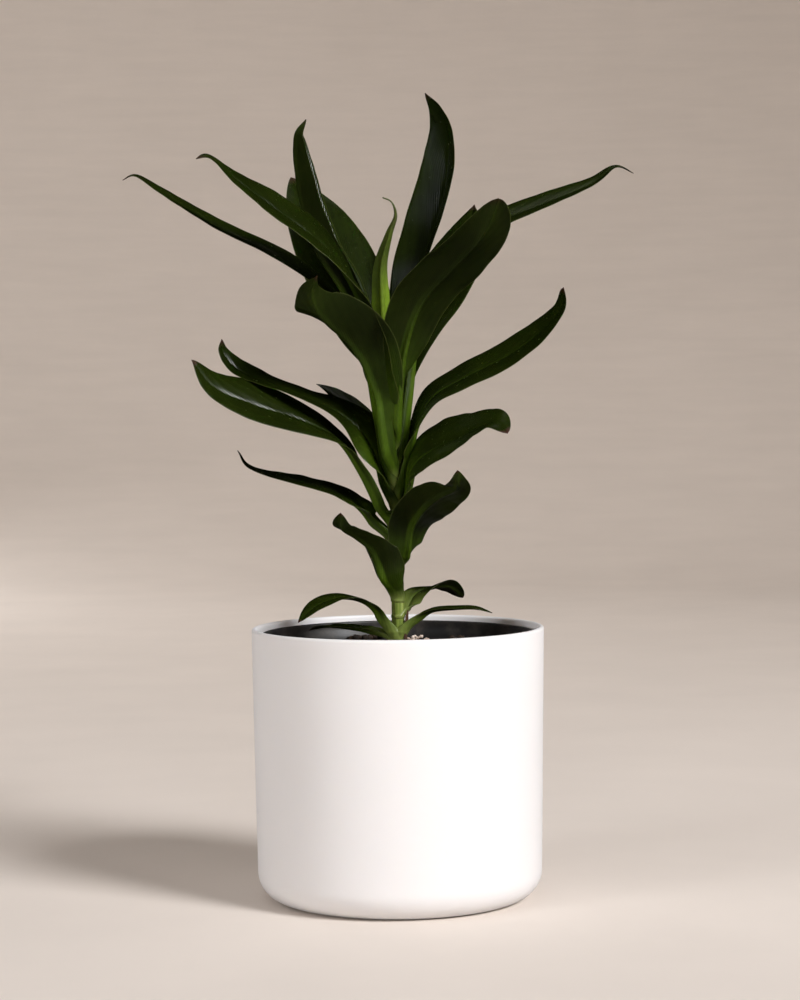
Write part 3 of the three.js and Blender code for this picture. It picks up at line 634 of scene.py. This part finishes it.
def soil_height(x, y):
    """Height of the soil surface in millimetres: a low mound at the cane and a crumbly unevenness."""
    mound = SOIL_MOUND * np.exp(-(np.hypot(x, y) / 14) ** 2)
    waves = np.sin(x * 0.31 + 1.3) * np.cos(y * 0.27) + 0.6 * np.sin(x * 0.12 - y * 0.44)
    return SOIL_LEVEL + mound + SOIL_BUMP * waves * 0.6


def crumbliness(x, y, rng):
    """Small lumps: a few octaves of waves with random directions."""
    total = np.zeros_like(x)
    for octave in range(5):
        pitch = 5.5 / 1.7 ** octave
        for _ in range(5):
            angle, phase = rng.uniform(0, 2 * np.pi), rng.uniform(0, 2 * np.pi)
            across = x * np.cos(angle) + y * np.sin(angle)
            total += pitch * 0.05 * np.sin(across * 2 * np.pi / pitch + phase)
    return total


def build_soil_body(material):
    rng = np.random.default_rng(SEED)
    clearance = 1.2 + 0.6
    floor = NURSERY_BASE + NURSERY_FLOOR + 0.3
    rim = nursery_radius(SOIL_LEVEL - 3 - NURSERY_BASE) - clearance
    profile = [(0, floor), (nursery_radius(2) - clearance, floor), (rim, SOIL_LEVEL - 3)]
    radii = np.linspace(rim, 3.6, 110)
    profile += [(r, SOIL_LEVEL) for r in radii] + [(3.6, SOIL_LEVEL - 8), (0, SOIL_LEVEL - 8)]
    vertices, faces = lathe(profile, 300)
    top = np.abs(vertices[:, 2] - SOIL_LEVEL) < 1e-6
    x, y = vertices[top, 0], vertices[top, 1]
    fade = smooth(rim - np.hypot(x, y), 0, 3)
    vertices[top, 2] = soil_height(x, y) + crumbliness(x, y, rng) * fade
    return new_piece("potting_soil_fine", vertices, faces, material, "potting_soil")


def scatter(name, count, sizes, flatness, material, rng, reach=SOIL_REACH, spots=None, sink=0.35):
    """One mesh of many small lumps lying on the soil, each a rounded, dented, tumbled stone shape."""
    ball = bmesh.new()
    bmesh.ops.create_icosphere(ball, subdivisions=2, radius=1.0)
    points = np.array([v.co for v in ball.verts])
    tris = np.array([[v.index for v in f.verts] for f in ball.faces])
    ball.free()
    vertices, faces = [], []
    for i in range(count):
        if spots is None:
            radius, angle = reach * math.sqrt(rng.uniform(0.008, 1)), rng.uniform(0, 2 * math.pi)
            x, y = radius * math.cos(angle), radius * math.sin(angle)
        else:
            cx, cy, spread_mm = spots[i % len(spots)]
            x, y = cx + rng.normal(0, spread_mm), cy + rng.normal(0, spread_mm)
        size = rng.uniform(*sizes)
        dents = 1 + 0.22 * np.sin(points @ rng.normal(0, 2.2, 3) + rng.uniform(0, 6))
        dents *= 1 + 0.14 * np.sin(points @ rng.normal(0, 4.5, 3) + rng.uniform(0, 6))
        lump = points * dents[:, None] * [1, rng.uniform(0.55, 1), rng.uniform(*flatness)] * size / 2
        turn = Matrix.Rotation(rng.uniform(0, 6.28), 3, "Z") @ Matrix.Rotation(rng.normal(0, 0.45), 3, "X")
        lump = lump @ np.array(turn).T
        height = soil_height(np.array(x), np.array(y)) - sink * size * 0.3 + size * 0.12
        faces.append(tris + len(points) * i)
        vertices.append(lump + [x, y, float(height)])
    return new_piece(name, np.vstack(vertices), np.vstack(faces), material)


def build_fibres(material, rng, count=260):
    """Short bent root and peat fibres lying on the soil."""
    vertices, faces = [], []
    sides = 5
    for _ in range(count):
        radius, angle = 58 * math.sqrt(rng.uniform(0.01, 1)), rng.uniform(0, 2 * math.pi)
        x, y = radius * math.cos(angle), radius * math.sin(angle)
        heading, length, bend = rng.uniform(0, 6.28), rng.uniform(2.5, 8), rng.normal(0, 1.4)
        steps = np.linspace(0, 1, 7)
        way = heading + bend * (steps - 0.5)
        path_x = x + np.cumsum(np.cos(way)) * length / 7
        path_y = y + np.cumsum(np.sin(way)) * length / 7
        reach = np.hypot(path_x, path_y).max()
        if reach > SOIL_REACH or np.hypot(path_x, path_y).min() < 5:
            continue
        lift = 0.35 + 0.9 * rng.uniform() * np.sin(steps * math.pi)
        path = np.stack([path_x, path_y, soil_height(path_x, path_y) + lift], -1)
        girth = rng.uniform(0.1, 0.26) * np.sqrt(np.clip(1.05 - steps, 0.05, 1))
        tangent = np.gradient(path, axis=0)
        tangent /= np.linalg.norm(tangent, axis=1)[:, None]
        side = np.cross(tangent, [0, 0, 1.0])
        side /= np.linalg.norm(side, axis=1)[:, None]
        up = np.cross(side, tangent)
        turn = np.linspace(0, 2 * np.pi, sides, endpoint=False)
        ring = side[:, None] * np.cos(turn)[None, :, None] + up[:, None] * np.sin(turn)[None, :, None]
        base = sum(len(v) for v in vertices)
        vertices.append((path[:, None] + ring * girth[:, None, None]).reshape(-1, 3))
        for i in range(len(path) - 1):
            for j in range(sides):
                a, b = base + i * sides + j, base + i * sides + (j + 1) % sides
                faces.append((a, a + sides, b + sides, b))
        faces.append(tuple(base + j for j in range(sides)))
        faces.append(tuple(base + (len(path) - 1) * sides + j for j in reversed(range(sides))))
    return new_piece("soil_fibres", np.vstack(vertices), faces, material)


# ---- cane and leaves ----------------------------------------------------------------------------

def cane_radius(z):
    upper = smooth(z, 150, CANE_TOP)
    scar = np.maximum(0, np.cos(2 * np.pi * np.asarray(z, float) / SCAR_STEP)) ** 6
    return CANE_RADIUS + (CANE_TIP_RADIUS - CANE_RADIUS) * upper + 0.22 * scar * (1 - upper)


def cane_centre(z):
    z = np.asarray(z, float)
    rise = z - SOIL_LEVEL
    return np.stack([0.4 - 0.012 * rise, 0.5 * np.sin(rise / 40), z], -1)


def build_cane(material):
    """The cane: slightly uneven, with a raised, tilted leaf scar every few millimetres."""
    sides, rings = 64, 620
    z = np.linspace(CANE_FOOT, CANE_TOP, rings)
    angles = np.linspace(0, 2 * np.pi, sides, endpoint=False)
    lean = 0.9 * np.sin(angles[None] + z[:, None] * 0.9)
    phase = ((z[:, None] + lean) % SCAR_STEP) / SCAR_STEP
    distance = np.minimum(phase, 1 - phase) * SCAR_STEP
    ridge = np.exp(-(distance / 0.45) ** 2)
    upper = smooth(z, 150, CANE_TOP)
    smooth_radius = CANE_RADIUS + (CANE_TIP_RADIUS - CANE_RADIUS) * upper
    flutes = 0.06 * np.sin(angles[None] * 9 + z[:, None] * 0.05)
    flutes = flutes + 0.1 * np.sin(angles[None] * 2 + z[:, None] * 0.11)
    radii = smooth_radius[:, None] + 0.2 * ridge * (1 - upper)[:, None] + flutes - 0.05
    radii[-6:] *= np.linspace(1, 0.3, 6)[:, None]
    vertices, faces = tube(cane_centre(z), radii, sides)
    piece = new_piece("cane_fine", vertices, faces, material, "cane")
    store(piece, "scar", np.append((ridge * 0.8).ravel(), [0, 0]))
    return piece


def rib_samples(points, count):
    """A centripetal Catmull-Rom line through the points, sampled at even steps of length."""
    points = np.asarray(points, float)
    ends = np.vstack([2 * points[0] - points[1], points, 2 * points[-1] - points[-2]])
    dense = []
    for i in range(len(points) - 1):
        p0, p1, p2, p3 = ends[i:i + 4]
        k1 = np.linalg.norm(p1 - p0) ** 0.5
        k2 = k1 + np.linalg.norm(p2 - p1) ** 0.5
        k3 = k2 + np.linalg.norm(p3 - p2) ** 0.5
        k = np.linspace(k1, k2, 60, endpoint=i == len(points) - 2)[:, None]
        a1 = (k1 - k) / k1 * p0 + k / k1 * p1
        a2 = (k2 - k) / (k2 - k1) * p1 + (k - k1) / (k2 - k1) * p2
        a3 = (k3 - k) / (k3 - k2) * p2 + (k - k2) / (k3 - k2) * p3
        b1 = (k2 - k) / k2 * a1 + k / k2 * a2
        b2 = (k3 - k) / (k3 - k1) * a2 + (k - k1) / (k3 - k1) * a3
        dense.append((k2 - k) / (k2 - k1) * b1 + (k - k1) / (k2 - k1) * b2)
    dense = np.vstack(dense)
    length = np.append(0, np.cumsum(np.linalg.norm(np.diff(dense, axis=0), axis=1)))
    steps = np.linspace(0, length[-1], count)
    return np.stack([np.interp(steps, length, dense[:, k]) for k in range(3)], -1), length[-1]


def half_width(leaf, t):
    stalk = (BASE_WIDTH + (leaf["petiole"] - BASE_WIDTH) * smooth(t, 0, leaf["blade"] * 0.7)) / 2
    fade = 1 - smooth(t, leaf["blade"], 1)
    s = np.clip((t - leaf["blade"]) / (1 - leaf["blade"]), 0, 1)
    low, high = leaf.get("low", 0.75), leaf.get("high", 0.8)
    peak = low / (low + high)
    swell = s ** low * (1 - s) ** high / (peak ** low * (1 - peak) ** high)
    return np.maximum(TIP_WIDTH / 2, stalk * fade + (leaf["width"] - leaf["petiole"] * fade) / 2 * swell)


def build_leaf(name, leaf, material, rng):
    """One leaf: clasping foot, channelled stalk, keeled midrib, pleated blade, wavy margin, fine tip."""
    rows, half_columns = 150, 15
    heading = math.radians(leaf["heading"])
    out = np.array([math.cos(heading), math.sin(heading), 0])
    start = leaf["node"] - 2
    foot = cane_centre(start) + out * (float(cane_radius(start)) + 0.6)
    spine, length = rib_samples([foot, *leaf["rib"]], rows)
    t = np.linspace(0, 1, rows)
    tangent = np.gradient(spine, axis=0)
    tangent /= np.linalg.norm(tangent, axis=1)[:, None]
    level = np.array([-out[1], out[0], 0])
    across = level - (tangent @ level)[:, None] * tangent
    across /= np.linalg.norm(across, axis=1)[:, None]
    normal = np.cross(tangent, across)
    roll = np.radians(np.interp(t, np.linspace(0, 1, len(leaf["roll"])), leaf["roll"]))
    roll = np.convolve(np.pad(roll, 9, mode="edge"), np.hanning(21)[1:-1] / np.hanning(21).sum(), "valid")
    side = across * np.cos(roll)[:, None] + normal * np.sin(roll)[:, None]
    up = normal * np.cos(roll)[:, None] - across * np.sin(roll)[:, None]

    opened = smooth(t, leaf["blade"] * 0.6, leaf.get("blade_end", leaf["blade"] + 0.12))
    fold = np.radians(PETIOLE_FOLD + (leaf["fold"] - PETIOLE_FOLD) * opened)
    edge = np.radians(PETIOLE_EDGE + (leaf["edge"] - PETIOLE_EDGE) * opened)
    bend = np.where(np.abs(edge - fold) < 1e-3, 1e-3, edge - fold)
    half = half_width(leaf, t)
    even = np.linspace(-1, 1, 2 * half_columns + 1)
    u = np.sign(even) * np.abs(even) ** 1.45
    size = np.abs(u)
    angle = fold[:, None] + bend[:, None] * size[None]
    x = np.sign(u) * half[:, None] * (np.sin(angle) - np.sin(fold)[:, None]) / bend[:, None]
    y = half[:, None] * (np.cos(fold)[:, None] - np.cos(angle)) / bend[:, None]

    # shape that the solids leave out: a midrib groove, soft pleats and a gently waved margin
    blade = smooth(t, leaf["blade"], leaf["blade"] + 0.25) * (1 - smooth(t, 0.9, 1))
    from_rib = size[None] * half[:, None]
    groove = -0.45 * np.exp(-(from_rib / 0.8) ** 2) * (0.25 + 0.75 * (1 - t))[:, None] * opened[:, None]
    pleat = 0.05 * np.sin(from_rib * 2 * np.pi / 4.3 - t[:, None] * length * 0.24 * 2 * np.pi / 4.3)
    waves = np.zeros((rows, len(u)))
    for sign in (-1, 1):
        phase, turns = rng.uniform(0, 6.28), rng.uniform(1.6, 3.0)
        wave = np.sin(2 * np.pi * turns * t + phase) + 0.4 * np.sin(2 * np.pi * turns * 2.7 * t + phase * 2)
        waves += (np.sign(u)[None] == sign) * size[None] ** 2.5 * wave[:, None]
    lift = groove + (pleat + waves * 0.018 * half.max()) * blade[:, None]
    facing = -np.sign(u)[None, :, None] * np.sin(angle)[..., None] * side[:, None]
    facing = facing + np.cos(angle)[..., None] * up[:, None]
    facing /= np.linalg.norm(facing, axis=2)[..., None]
    top = spine[:, None] + x[..., None] * side[:, None] + (y + lift)[..., None] * up[:, None]
    keel = 1.0 * np.exp(-(from_rib / (0.9 + 0.7 * (1 - t))[:, None]) ** 2) * (1 - t)[:, None]
    body = (0.55 + 0.75 * (1 - opened))[:, None] * (1 - size[None] ** 4 * 0.6) * (1 - 0.45 * t)[:, None]
    under = top - facing * (body + keel + 0.45 * np.exp(-(from_rib / 0.8) ** 2) * (1 - t)[:, None])[..., None]

    # the foot is a sheath that wraps the cane and opens into the stalk
    climb = t * length
    hold = 1 - smooth(climb, 1, leaf.get("sheath", 16))
    wrap = np.radians(155 - 60 * smooth(climb, 0, 16))[:, None] * u[None]
    level_ring = np.stack([np.cos(heading + wrap), np.sin(heading + wrap), 0 * wrap], -1)
    grip = cane_radius(spine[:, 2]) + 0.05 + 0.1 * climb
    wall = 0.08 + 0.75 * smooth(climb, 0, 9)
    held = cane_centre(spine[:, 2])[:, None] + level_ring * grip[:, None, None]
    shell = held + level_ring * (wall[:, None] * (1 - 0.6 * size[None] ** 3))[..., None]
    top = top + (held - top) * hold[:, None, None]
    under = under + (shell - under) * hold[:, None, None]

    # the rim where both faces meet is rounded by one ring of points halfway between them
    middle = (top[:, [0, -1]] + under[:, [0, -1]]) / 2
    outward = side[:, None] * np.array([-1, 1])[None, :, None] * 0.12 * (1 - hold)[:, None, None]
    middle = middle + outward
    columns = len(u)
    ring = np.concatenate([under, middle[:, 1:], top[:, ::-1], middle[:, :1]], 1)
    count = ring.shape[1]
    vertices = np.vstack([ring.reshape(-1, 3), ring[0].mean(0), ring[-1].mean(0) + tangent[-1] * 0.3])
    faces = capped_rings(rows, count)
    piece = new_piece(name + "_fine", vertices, faces, material, name)

    u_ring = np.concatenate([u, [1], u[::-1], [-1]])
    side_ring = np.concatenate([np.ones(columns), [0.5], np.zeros(columns), [0.5]])
    per_row = {
        "across": np.tile(u_ring, (rows, 1)),
        "along": np.tile(t[:, None], (1, count)),
        "across_mm": u_ring[None] * half[:, None],
        "along_mm": np.tile(t[:, None] * length, (1, count)),
        "side": np.tile(side_ring, (rows, 1)),
        "age": np.full((rows, count), leaf["age"]),
        "stalk": np.tile((1 - smooth(t, *leaf.get("stalk", (0.16, 0.42))))[:, None], (1, count)),
        "pale": np.tile((1 - smooth(climb, 0, 20 if leaf["age"] > 0.85 else 9))[:, None], (1, count)),
    }
    ends = {"along": (0, 1), "along_mm": (0, length), "age": (leaf["age"], leaf["age"]),
            "stalk": (1, 0), "pale": (1, 0)}
    for key, values in per_row.items():
        store(piece, key, np.append(values.ravel(), ends.get(key, (0, 0))))
    return piece


def build_sheath(material, rng):
    """A dried, torn leaf base left standing at the foot of the cane."""
    rows, columns = 26, 12
    t = np.linspace(0, 1, rows)[:, None]
    u = np.linspace(-1, 1, columns)[None]
    width = 1.7 * (1 - t ** 1.6) + 0.25
    turn = math.radians(-25) + u * width * 0.26
    radius = 4.0 + 0.9 * t + 0.5 * np.sin(t * 9 + u * 2) * t
    z = 120.5 + 16.5 * t + 1.1 * np.sin(u * 5) * t
    x = 0.4 + radius * np.cos(turn)
    y = radius * np.sin(turn)
    outer = np.stack([x, y, z + 0 * u], -1)
    inner = np.stack([x - 0.28 * np.cos(turn), y - 0.28 * np.sin(turn), z + 0 * u], -1)
    ring = np.concatenate([outer, inner[:, ::-1]], 1)
    ring += rng.normal(0, 0.05, ring.shape)
    count = ring.shape[1]
    faces = capped_rings(rows, count)
    vertices = np.vstack([ring.reshape(-1, 3), ring[0].mean(0), ring[-1].mean(0)])
    return new_piece("dry_sheath", vertices, faces, material)


# ---- settings -----------------------------------------------------------------------------------

def colour_property(name, hex_colour, description):
    return FloatVectorProperty(name=name, description=description, subtype="COLOR", size=4, min=0, max=1,
                               default=linear(hex_colour))


class PotSettings(bpy.types.PropertyGroup):
    """Sizes and colours of the two pots."""
    cover_diameter: FloatProperty(name="Cover diameter", description="Outside diameter at the lip",
                                  default=0.140, unit="LENGTH")
    cover_height: FloatProperty(name="Cover height", description="Height of the cover pot",
                                default=0.130, unit="LENGTH")
    cover_wall: FloatProperty(name="Cover wall", description="Wall of the cover pot",
                              default=0.0026, unit="LENGTH")
    cover_floor: FloatProperty(name="Cover floor", description="Floor of the cover pot",
                               default=0.003, unit="LENGTH")
    nursery_wall: FloatProperty(name="Nursery wall", description="Wall of the nursery pot",
                                default=0.0012, unit="LENGTH")
    drain_holes: IntProperty(name="Drain holes", description="Holes in the nursery pot's floor",
                             default=8, min=0)
    white: colour_property("Cover colour", "edebeb", "Colour of the cover pot")
    black: colour_property("Nursery colour", "1f1e1e", "Colour of the nursery pot")


class PlantSettings(bpy.types.PropertyGroup):
    """Colours and litter of the soil and the cane."""
    soil: colour_property("Soil colour", "2b2018", "Colour of the damp compost")
    cane: colour_property("Cane colour", "7b8c3a", "Colour of the cane's skin")
    crumbs: IntProperty(name="Crumbs", description="Loose peat crumbs on the soil", default=1500, min=0)
    chips: IntProperty(name="Bark chips", description="Bark chips on the soil", default=70, min=0)
    grains: IntProperty(name="Pale grains", description="Pale grains on the soil", default=60, min=0)


class StudioSettings(bpy.types.PropertyGroup):
    """The plain studio round the plant."""
    paper: colour_property("Paper colour", "e7ddd4", "Colour of the floor and backdrop")
    camera_distance: FloatProperty(name="Camera distance", description="From the lens to the cane",
                                   default=1.2, unit="LENGTH")
    camera_height: FloatProperty(name="Camera height", description="Height of the lens",
                                 default=0.2379, unit="LENGTH")
    key_power: FloatProperty(name="Key power", description="Power of the large soft light",
                             default=25.5, unit="POWER")


# ---- operators ----------------------------------------------------------------------------------

class CORDYLINE_OT_cover_pot(bpy.types.Operator):
    """Build the white moulded cover pot"""
    bl_idname = "cordyline.cover_pot"
    bl_label = "Cover pot"

    def execute(self, context):
        settings = context.scene.cordyline_pots
        vertices, faces = lathe(cover_profile(settings), 224)
        material = moulded_white_polypropylene(list(settings.white))
        new_piece("cover_pot_fine", vertices, faces, material, "cover_pot")
        return {"FINISHED"}


class CORDYLINE_OT_nursery_pot(bpy.types.Operator):
    """Build the black nursery pot with its collar and drainage holes"""
    bl_idname = "cordyline.nursery_pot"
    bl_label = "Nursery pot"

    def execute(self, context):
        settings = context.scene.cordyline_pots
        vertices, faces = lathe(nursery_profile(settings.nursery_wall / MM), 180)
        material = moulded_black_polypropylene(list(settings.black))
        piece = new_piece("nursery_pot_fine", vertices, faces, material,
                          "nursery_pot")
        cut_drain_holes(piece, settings.drain_holes, 33 * MM, 4 * MM)
        return {"FINISHED"}


class CORDYLINE_OT_soil(bpy.types.Operator):
    """Build the compost with its crumbs, bark chips, pale grains and fibres"""
    bl_idname = "cordyline.soil"
    bl_label = "Soil"

    def execute(self, context):
        settings = context.scene.cordyline_plant
        rng = np.random.default_rng(SEED + 1)
        peat = damp_peat(list(settings.soil))
        build_soil_body(peat)
        bark = crumb_material("pine_bark_chips", "15100c", "4a3829", 0.8)
        pale = crumb_material("coated_fertiliser_grains", "b99a86", "e9d9cb", 0.55)
        straw = crumb_material("dry_root_fibres", "4a3524", "9b7b58", 0.85)
        scatter("peat_crumbs", settings.crumbs, (0.7, 2.6), (0.5, 0.9), peat, rng)
        scatter("bark_chips", settings.chips, (2.2, 5.5), (0.22, 0.5), bark, rng)
        scatter("pale_grains", settings.grains, (0.9, 2.0), (0.7, 1.0), pale, rng)
        heap = [(5, 55, 3.0), (9, 56, 2.0), (12, 54, 2.5), (2, 56, 2.0)]
        scatter("pale_grain_heap", 30, (1.1, 2.1), (0.8, 1.0), pale, rng, spots=heap, sink=-2.2)
        banks = [(-24, 52, 2.0), (-17, 54, 2.5), (-12, 55, 2.0), (-20, 55, 2.0), (30, 50, 3.0)]
        scatter("bark_bank", 40, (1.8, 3.8), (0.5, 0.8), bark, rng, spots=banks, sink=-1.9)
        build_fibres(straw, rng)
        return {"FINISHED"}


class CORDYLINE_OT_cane(bpy.types.Operator):
    """Build the cane and the dried leaf base at its foot"""
    bl_idname = "cordyline.cane"
    bl_label = "Cane"

    def execute(self, context):
        settings = context.scene.cordyline_plant
        build_cane(cane_skin(list(settings.cane)))
        build_sheath(dry_sheath_skin(), np.random.default_rng(SEED + 2))
        return {"FINISHED"}


class CORDYLINE_OT_leaves(bpy.types.Operator):
    """Build every leaf, from the furled spear down to the old ones at the soil"""
    bl_idname = "cordyline.leaves"
    bl_label = "Leaves"

    def execute(self, context):
        rng = np.random.default_rng(SEED + 3)
        mature = leaf_skin("cordyline_leaf_mature", "1b2405", "34470b", "1d2507", "435a10",
                           "3b1c12", "7c8a45")
        spear = leaf_skin("cordyline_leaf_spear", "3e4a1c", "93b430", "46541f", "8fa836",
                          "33261d", "8f9c4a", 0.84)
        for name, leaf in LEAVES.items():
            young = name == "leaf_01"
            build_leaf(name, leaf, spear if young else mature, rng)
        return {"FINISHED"}


class CORDYLINE_OT_studio(bpy.types.Operator):
    """Set up the seamless paper, the soft lights and the camera"""
    bl_idname = "cordyline.studio"
    bl_label = "Studio"

    def execute(self, context):
        settings = context.scene.cordyline_studio
        # a round infinity cove: flat floor, curved skirt, upright wall
        bends = [(0.0, 0.0), (COVE_FLAT / 2, 0.0), (COVE_FLAT, 0.0)]
        bends += [(COVE_FLAT + COVE_BEND * math.sin(a), COVE_BEND - COVE_BEND * math.cos(a))
                  for a in np.linspace(0.05, math.pi / 2, 24)]
        bends += [(COVE_FLAT + COVE_BEND, 2.5), (COVE_FLAT + COVE_BEND, COVE_TOP)]
        sides = 96
        turns = np.linspace(0, 2 * math.pi, sides, endpoint=False)
        vertices = [(0, 0, 0)] + [(r * math.cos(a), r * math.sin(a), z) for r, z in bends[1:] for a in turns]
        faces = [(0, 1 + j, 1 + (j + 1) % sides) for j in range(sides)]
        faces += [(1 + i * sides + j, 1 + (i + 1) * sides + j, 1 + (i + 1) * sides + (j + 1) % sides,
                   1 + i * sides + (j + 1) % sides) for i in range(len(bends) - 2) for j in range(sides)]
        mesh = bpy.data.meshes.new("studio_cove")
        mesh.from_pydata(vertices, [], faces)
        mesh.shade_smooth()
        mesh.materials.append(studio_paper(list(settings.paper)))
        cove = bpy.data.objects.new("studio_cove", mesh)
        cove.visible_glossy = False
        context.scene.collection.objects.link(cove)

        def soft_light(name, place, aim, size, power, colour, glints=True, spread=180):
            light = bpy.data.lights.new(name, "AREA")
            light.shape = "DISK"
            light.size = size
            light.energy = power
            light.spread = math.radians(spread)
            light.color = colour
            lamp = bpy.data.objects.new(name, light)
            lamp.location = place
            lamp.rotation_euler = (Vector(aim) - Vector(place)).to_track_quat("-Z", "Y").to_euler()
            lamp.visible_camera = False
            lamp.visible_glossy = glints
            context.scene.collection.objects.link(lamp)

        soft_light("key_softbox", (1.95, -1.75, 1.75), (0, 0, 0.18), 1.1, settings.key_power,
                   DAYLIGHT, spread=90)
        soft_light("side_fill", (-2.0, -1.4, 0.4), (0, 0, 0.2), 0.6, 16.0, DAYLIGHT, glints=False)
        soft_light("rear_fill", (-1.3, 2.0, 0.45), (0, 0, 0.2), 0.5, 11.0, DAYLIGHT, glints=False)
        soft_light("top_fill", (-0.5, -0.9, 2.2), (0, 0, 0.15), 1.2, 5.0, DAYLIGHT, glints=False)
        soft_light("window_glint", (-1.5, -1.3, 1.7), (0, 0, 0.25), 0.5, 2.0, (0.92, 0.97, 1.0))
        soft_light("backdrop_wash", (0.0, 0.9, 2.6), (0, 2.5, 0.0), 2.0, 8.5, (1.0, 0.94, 0.88), spread=110)

        world = bpy.data.worlds.new("studio_air")
        world.use_nodes = True
        world.node_tree.nodes["Background"].inputs["Color"].default_value = linear("e6dcd4")
        world.node_tree.nodes["Background"].inputs["Strength"].default_value = 0.04
        world.cycles_visibility.glossy = False
        context.scene.world = world
        context.scene.view_settings.view_transform = "Standard"

        data = bpy.data.cameras.new("camera")
        data.sensor_width = 36.0
        data.lens = LENS
        camera = bpy.data.objects.new("camera", data)
        camera.location = (CAMERA_SIDE, -settings.camera_distance, settings.camera_height)
        pitch, roll = math.radians(90 - CAMERA_TILT), math.radians(CAMERA_ROLL)
        camera.rotation_euler = (Matrix.Rotation(pitch, 3, "X") @ Matrix.Rotation(roll, 3, "Z")).to_euler()
        context.scene.collection.objects.link(camera)
        context.scene.camera = camera
        return {"FINISHED"}


class CORDYLINE_PT_sidebar(bpy.types.Panel):
    """Lists the building steps and their settings"""
    bl_idname = "CORDYLINE_PT_sidebar"
    bl_label = "Cordyline"
    bl_space_type = "VIEW_3D"
    bl_region_type = "UI"
    bl_category = "Cordyline"

    def draw(self, context):
        for group in ("cordyline_pots", "cordyline_plant", "cordyline_studio"):
            settings = getattr(context.scene, group)
            for key in settings.bl_rna.properties.keys():
                if key not in ("rna_type", "name"):
                    self.layout.prop(settings, key)
        for operator in OPERATORS:
            self.layout.operator(operator.bl_idname)


GROUPS = {"cordyline_pots": PotSettings, "cordyline_plant": PlantSettings, "cordyline_studio": StudioSettings}
OPERATORS = (CORDYLINE_OT_cover_pot, CORDYLINE_OT_nursery_pot, CORDYLINE_OT_soil, CORDYLINE_OT_cane,
             CORDYLINE_OT_leaves, CORDYLINE_OT_studio)


def register():
    for group in GROUPS.values():
        bpy.utils.register_class(group)
    for name, group in GROUPS.items():
        setattr(bpy.types.Scene, name, PointerProperty(type=group))
    for operator in OPERATORS:
        bpy.utils.register_class(operator)
    bpy.utils.register_class(CORDYLINE_PT_sidebar)


def unregister():
    bpy.utils.unregister_class(CORDYLINE_PT_sidebar)
    for operator in reversed(OPERATORS):
        bpy.utils.unregister_class(operator)
    for name in GROUPS:
        delattr(bpy.types.Scene, name)
    for group in GROUPS.values():
        bpy.utils.unregister_class(group)


def main():
    register()
    bpy.ops.cordyline.studio()
    bpy.ops.cordyline.cover_pot()
    bpy.ops.cordyline.nursery_pot()
    bpy.ops.cordyline.soil()
    bpy.ops.cordyline.cane()
    bpy.ops.cordyline.leaves()


if __name__ == "__main__":
    main()
